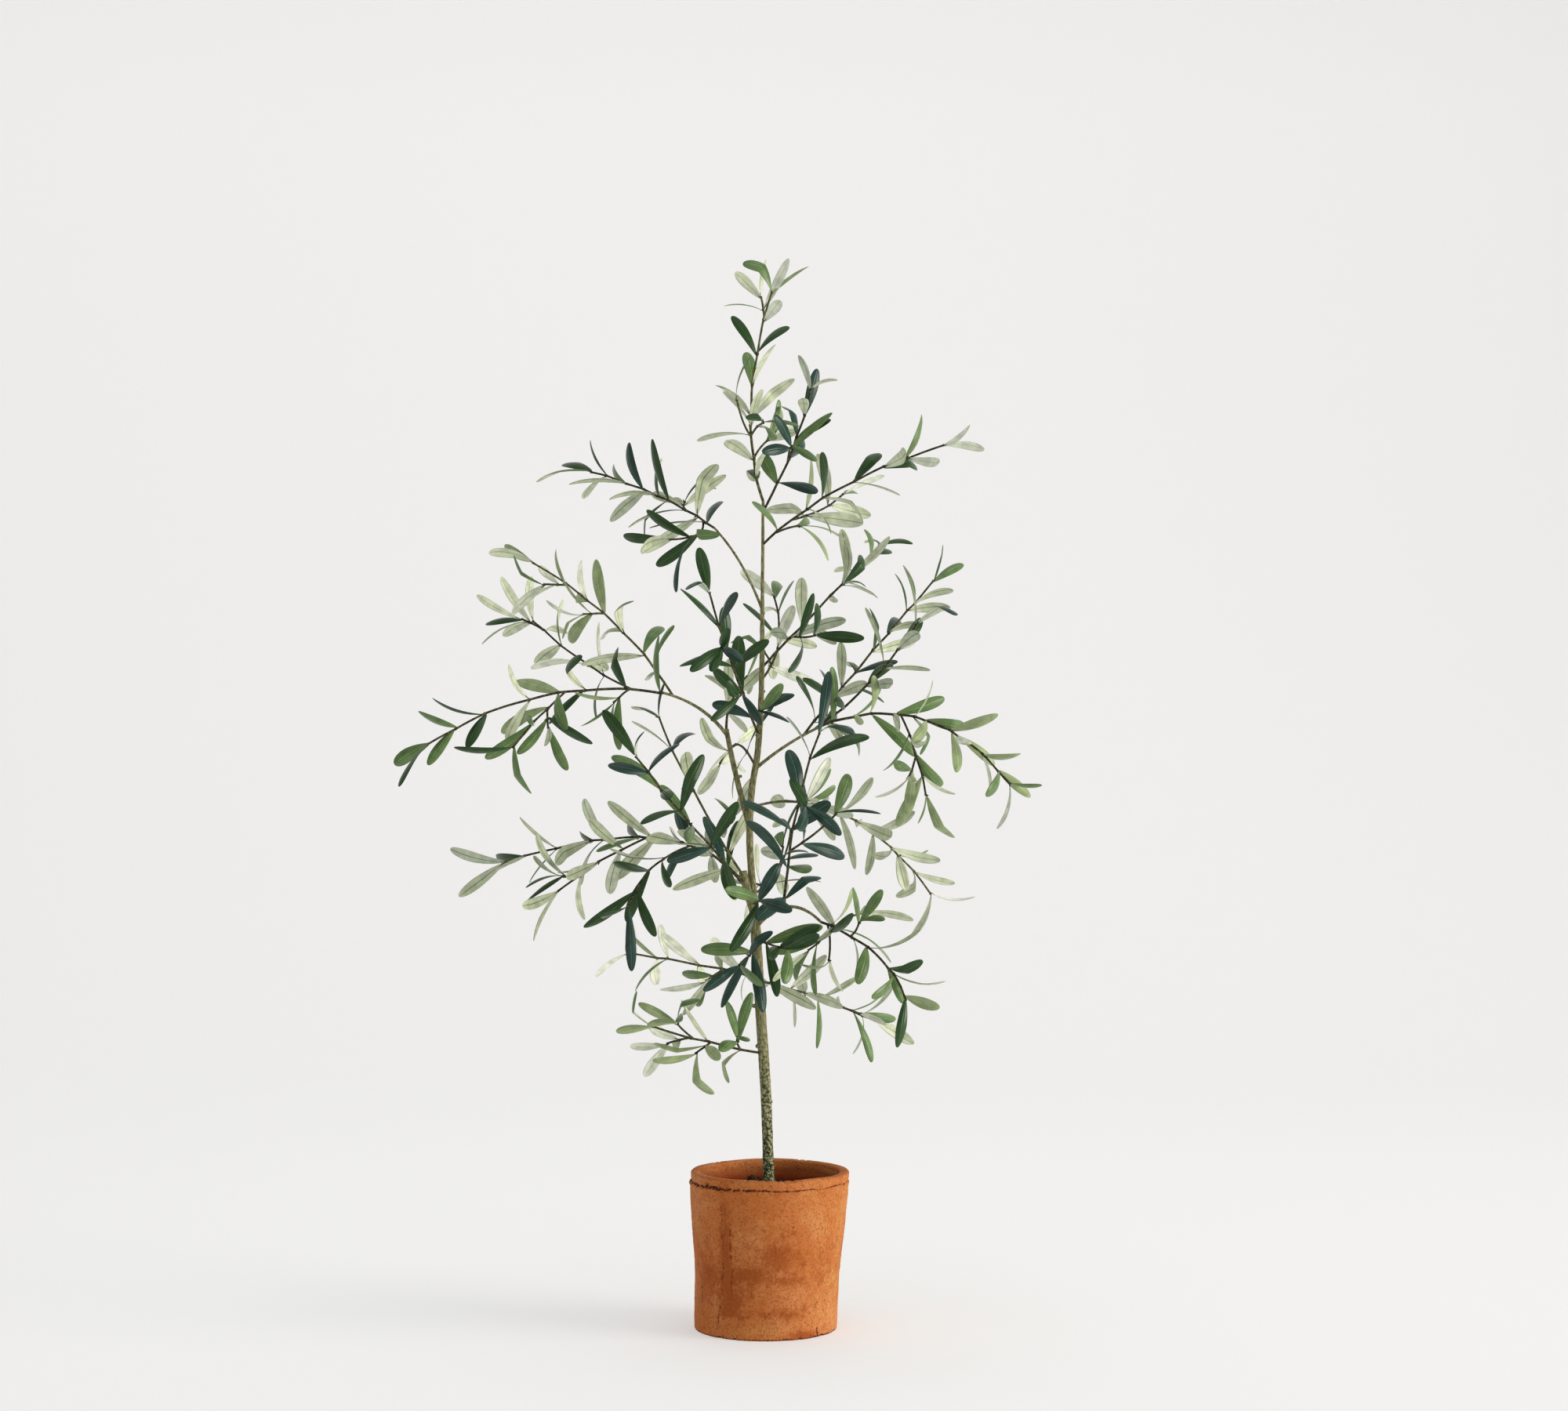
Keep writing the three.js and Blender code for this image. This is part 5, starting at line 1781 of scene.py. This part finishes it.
lots = {lot: [] for lot in DYE_LOTS}
lot_sprays = {lot: set() for lot in DYE_LOTS}
for spray in sprays:
    chance = chance_from(len(spray.leaves) + LOT_SEED)
    for leaf in spray.leaves:
        draw = next(chance)
        darker, lighter = LOTS_BESIDE[leaf.tint]
        lot = darker if draw < STRAY_SHARE else lighter if draw > 1 - STRAY_SHARE else leaf.tint
        lots[lot].append(blade_chain(leaf))
        lot_sprays[lot].add(spray.name)

for lot, chains in lots.items():
    leaves = chain_object(f"{lot}_leaves", chains, ["up", "run"])
    run_tree(leaves, BLADES, Section=section, **CLOTH[lot])
    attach(leaves, "root")
    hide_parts(*sorted(lot_sprays[lot]))
    print(f"{lot} leaves:", len(chains), "blades,", len(leaves.data.polygons), "faces")
bpy.data.objects.remove(section)

# %% [markdown]
# The ballast and its crumbs
#
# Under the rim the pot is filled to within 28 mm of the top. The filling is cement, strewn with dark crumbs
# of bark and grit. A lumpy dish is the bed, and Geometry Nodes scatter the crumbs over it, each a rough
# stone of a few faces, turned and sized by chance.

# %% Soil
SOIL_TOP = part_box("soil")[1].z / MM
SOIL_DISH = 4
SOIL_GAP = 0.3
SOIL_TURNS = 96
SOIL_RINGS = 40
SOIL_LUMPS = ((1.2, 12), (0.6, 4))
SOIL_EDGE = (0.8, 3)
CRUMB_WIDTH = 4
CRUMB_GRIT = 1.5

# Each mound stands at a place across the pot, with its rise and its width.
MOUNDS = [(-24, 62, 13, 12), (18, 66, 4, 16), (-60, -20, 3, 18)]


def dark_crumbs():
    """Shredded bark, dyed and dry. It swallows light, so only its lumps show."""
    material, tree, shader = new_material("dark_bark_crumbs", "#3A2A20", 1, Specular_IOR_Level=0.1)
    where = add(tree, "ShaderNodeTexCoord").outputs["Object"]
    patches = grain(tree, where, CRUMB_WIDTH, detail=4, roughness=0.6)
    colour = lay_over(tree, "#1E1611", "#4F3C2C", patches, 0.35, 0.65)
    grit = grain(tree, where, CRUMB_GRIT, detail=4, roughness=0.7)
    finish_shader(tree, shader, colour, grit, depth=0.6, strength=0.8)
    return material


def soil_point(row, turn):
    radius, height = row
    if height > POT_FLOOR + 1:
        at = Vector((radius * math.cos(turn), radius * math.sin(turn), 0))
        height += lumps(at, *SOIL_LUMPS)
        for x, y, rise, width in MOUNDS:
            height += rise * hill(math.hypot(at.x - x, at.y - y), 0, width)
    lean = POT_LEAN * height / POT_HEIGHT
    return (radius * math.cos(turn) + lean, radius * math.sin(turn), height)


CRUMBS = dark_crumbs()
edge = SOIL_TOP - SOIL_DISH
wall = bore_radius(edge) - 2 * SOIL_GAP
foot = POT_FLOOR + SOIL_GAP
rows = [((bore_radius(foot) - SOIL_GAP) * part, foot) for part in (0.5, 1)]
rows.append((wall - SOIL_EDGE[0], edge - SOIL_EDGE[1]))
rows += [(wall * part, share(SOIL_TOP, edge, part)) for part in np.linspace(1, 0.05, SOIL_RINGS)]
places, faces = lathe(rows, soil_point, SOIL_TURNS)
soil = make_mesh("soil_bed", places, faces, CRUMBS)
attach(soil, "root")
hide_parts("soil")
print("soil:", len(soil.data.polygons), "faces,", round(POT_HEIGHT - SOIL_TOP), "mm under the rim")

# %% Crumbs
CRUMB_SIZES = (0.8, 3)
CRUMB_ROUGHNESS = 0.6
CRUMBS_A_SQUARE_METRE = 30000.0
FACES_UP = 0.5


def crumb_tree():
    inputs = {
        "Density": ("Float", CRUMBS_A_SQUARE_METRE),
        "Smallest": ("Float", CRUMB_SIZES[0] * MM),
        "Largest": ("Float", CRUMB_SIZES[1] * MM),
        "Seed": ("Int", 5),
        "Material": ("Material", None),
    }
    tree, given = new_tree("crumbs_on_soil", inputs)
    normal = add(tree, "GeometryNodeInputNormal").outputs[0]
    rise = add(tree, "ShaderNodeSeparateXYZ", {0: normal}).outputs["Z"]
    is_top = add(tree, "FunctionNodeCompare", {0: rise, 1: FACES_UP}, operation="GREATER_THAN").outputs[0]
    strewn = {"Mesh": given["Geometry"], "Selection": is_top}
    strewn |= {"Density": given["Density"], "Seed": given["Seed"]}
    points = add(tree, "GeometryNodeDistributePointsOnFaces", strewn).outputs["Points"]
    crumb = add(tree, "GeometryNodeMeshIcoSphere", {"Radius": 1.0, "Subdivisions": 1}).outputs["Mesh"]
    spin = {"Max": (math.tau,) * 3, "Seed": 1}
    spin = add(tree, "FunctionNodeRandomValue", spin, data_type="FLOAT_VECTOR").outputs[0]
    size = {"Min": given["Smallest"], "Max": given["Largest"], "Seed": 2}
    size = add(tree, "FunctionNodeRandomValue", size, data_type="FLOAT").outputs[1]
    copies = {"Points": points, "Instance": crumb, "Rotation": spin, "Scale": size}
    copies = add(tree, "GeometryNodeInstanceOnPoints", copies).outputs[0]
    real = add(tree, "GeometryNodeRealizeInstances", {"Geometry": copies}).outputs[0]
    limit = CRUMB_ROUGHNESS * MM
    jitter = {"Min": (-limit,) * 3, "Max": (limit,) * 3, "Seed": 3}
    jitter = add(tree, "FunctionNodeRandomValue", jitter, data_type="FLOAT_VECTOR").outputs[0]
    rough = add(tree, "GeometryNodeSetPosition", {"Geometry": real, "Offset": jitter}).outputs[0]
    done = add(tree, "GeometryNodeSetMaterial", {"Geometry": rough, "Material": given["Material"]})
    return finish_tree(tree, done.outputs[0])


crumbs = bpy.data.objects.new("soil_crumbs", soil.data.copy())
bpy.context.scene.collection.objects.link(crumbs)
run_tree(crumbs, crumb_tree(), Material=CRUMBS)
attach(crumbs, "root")
print("crumbs:", len(crumbs.data.polygons), "faces")
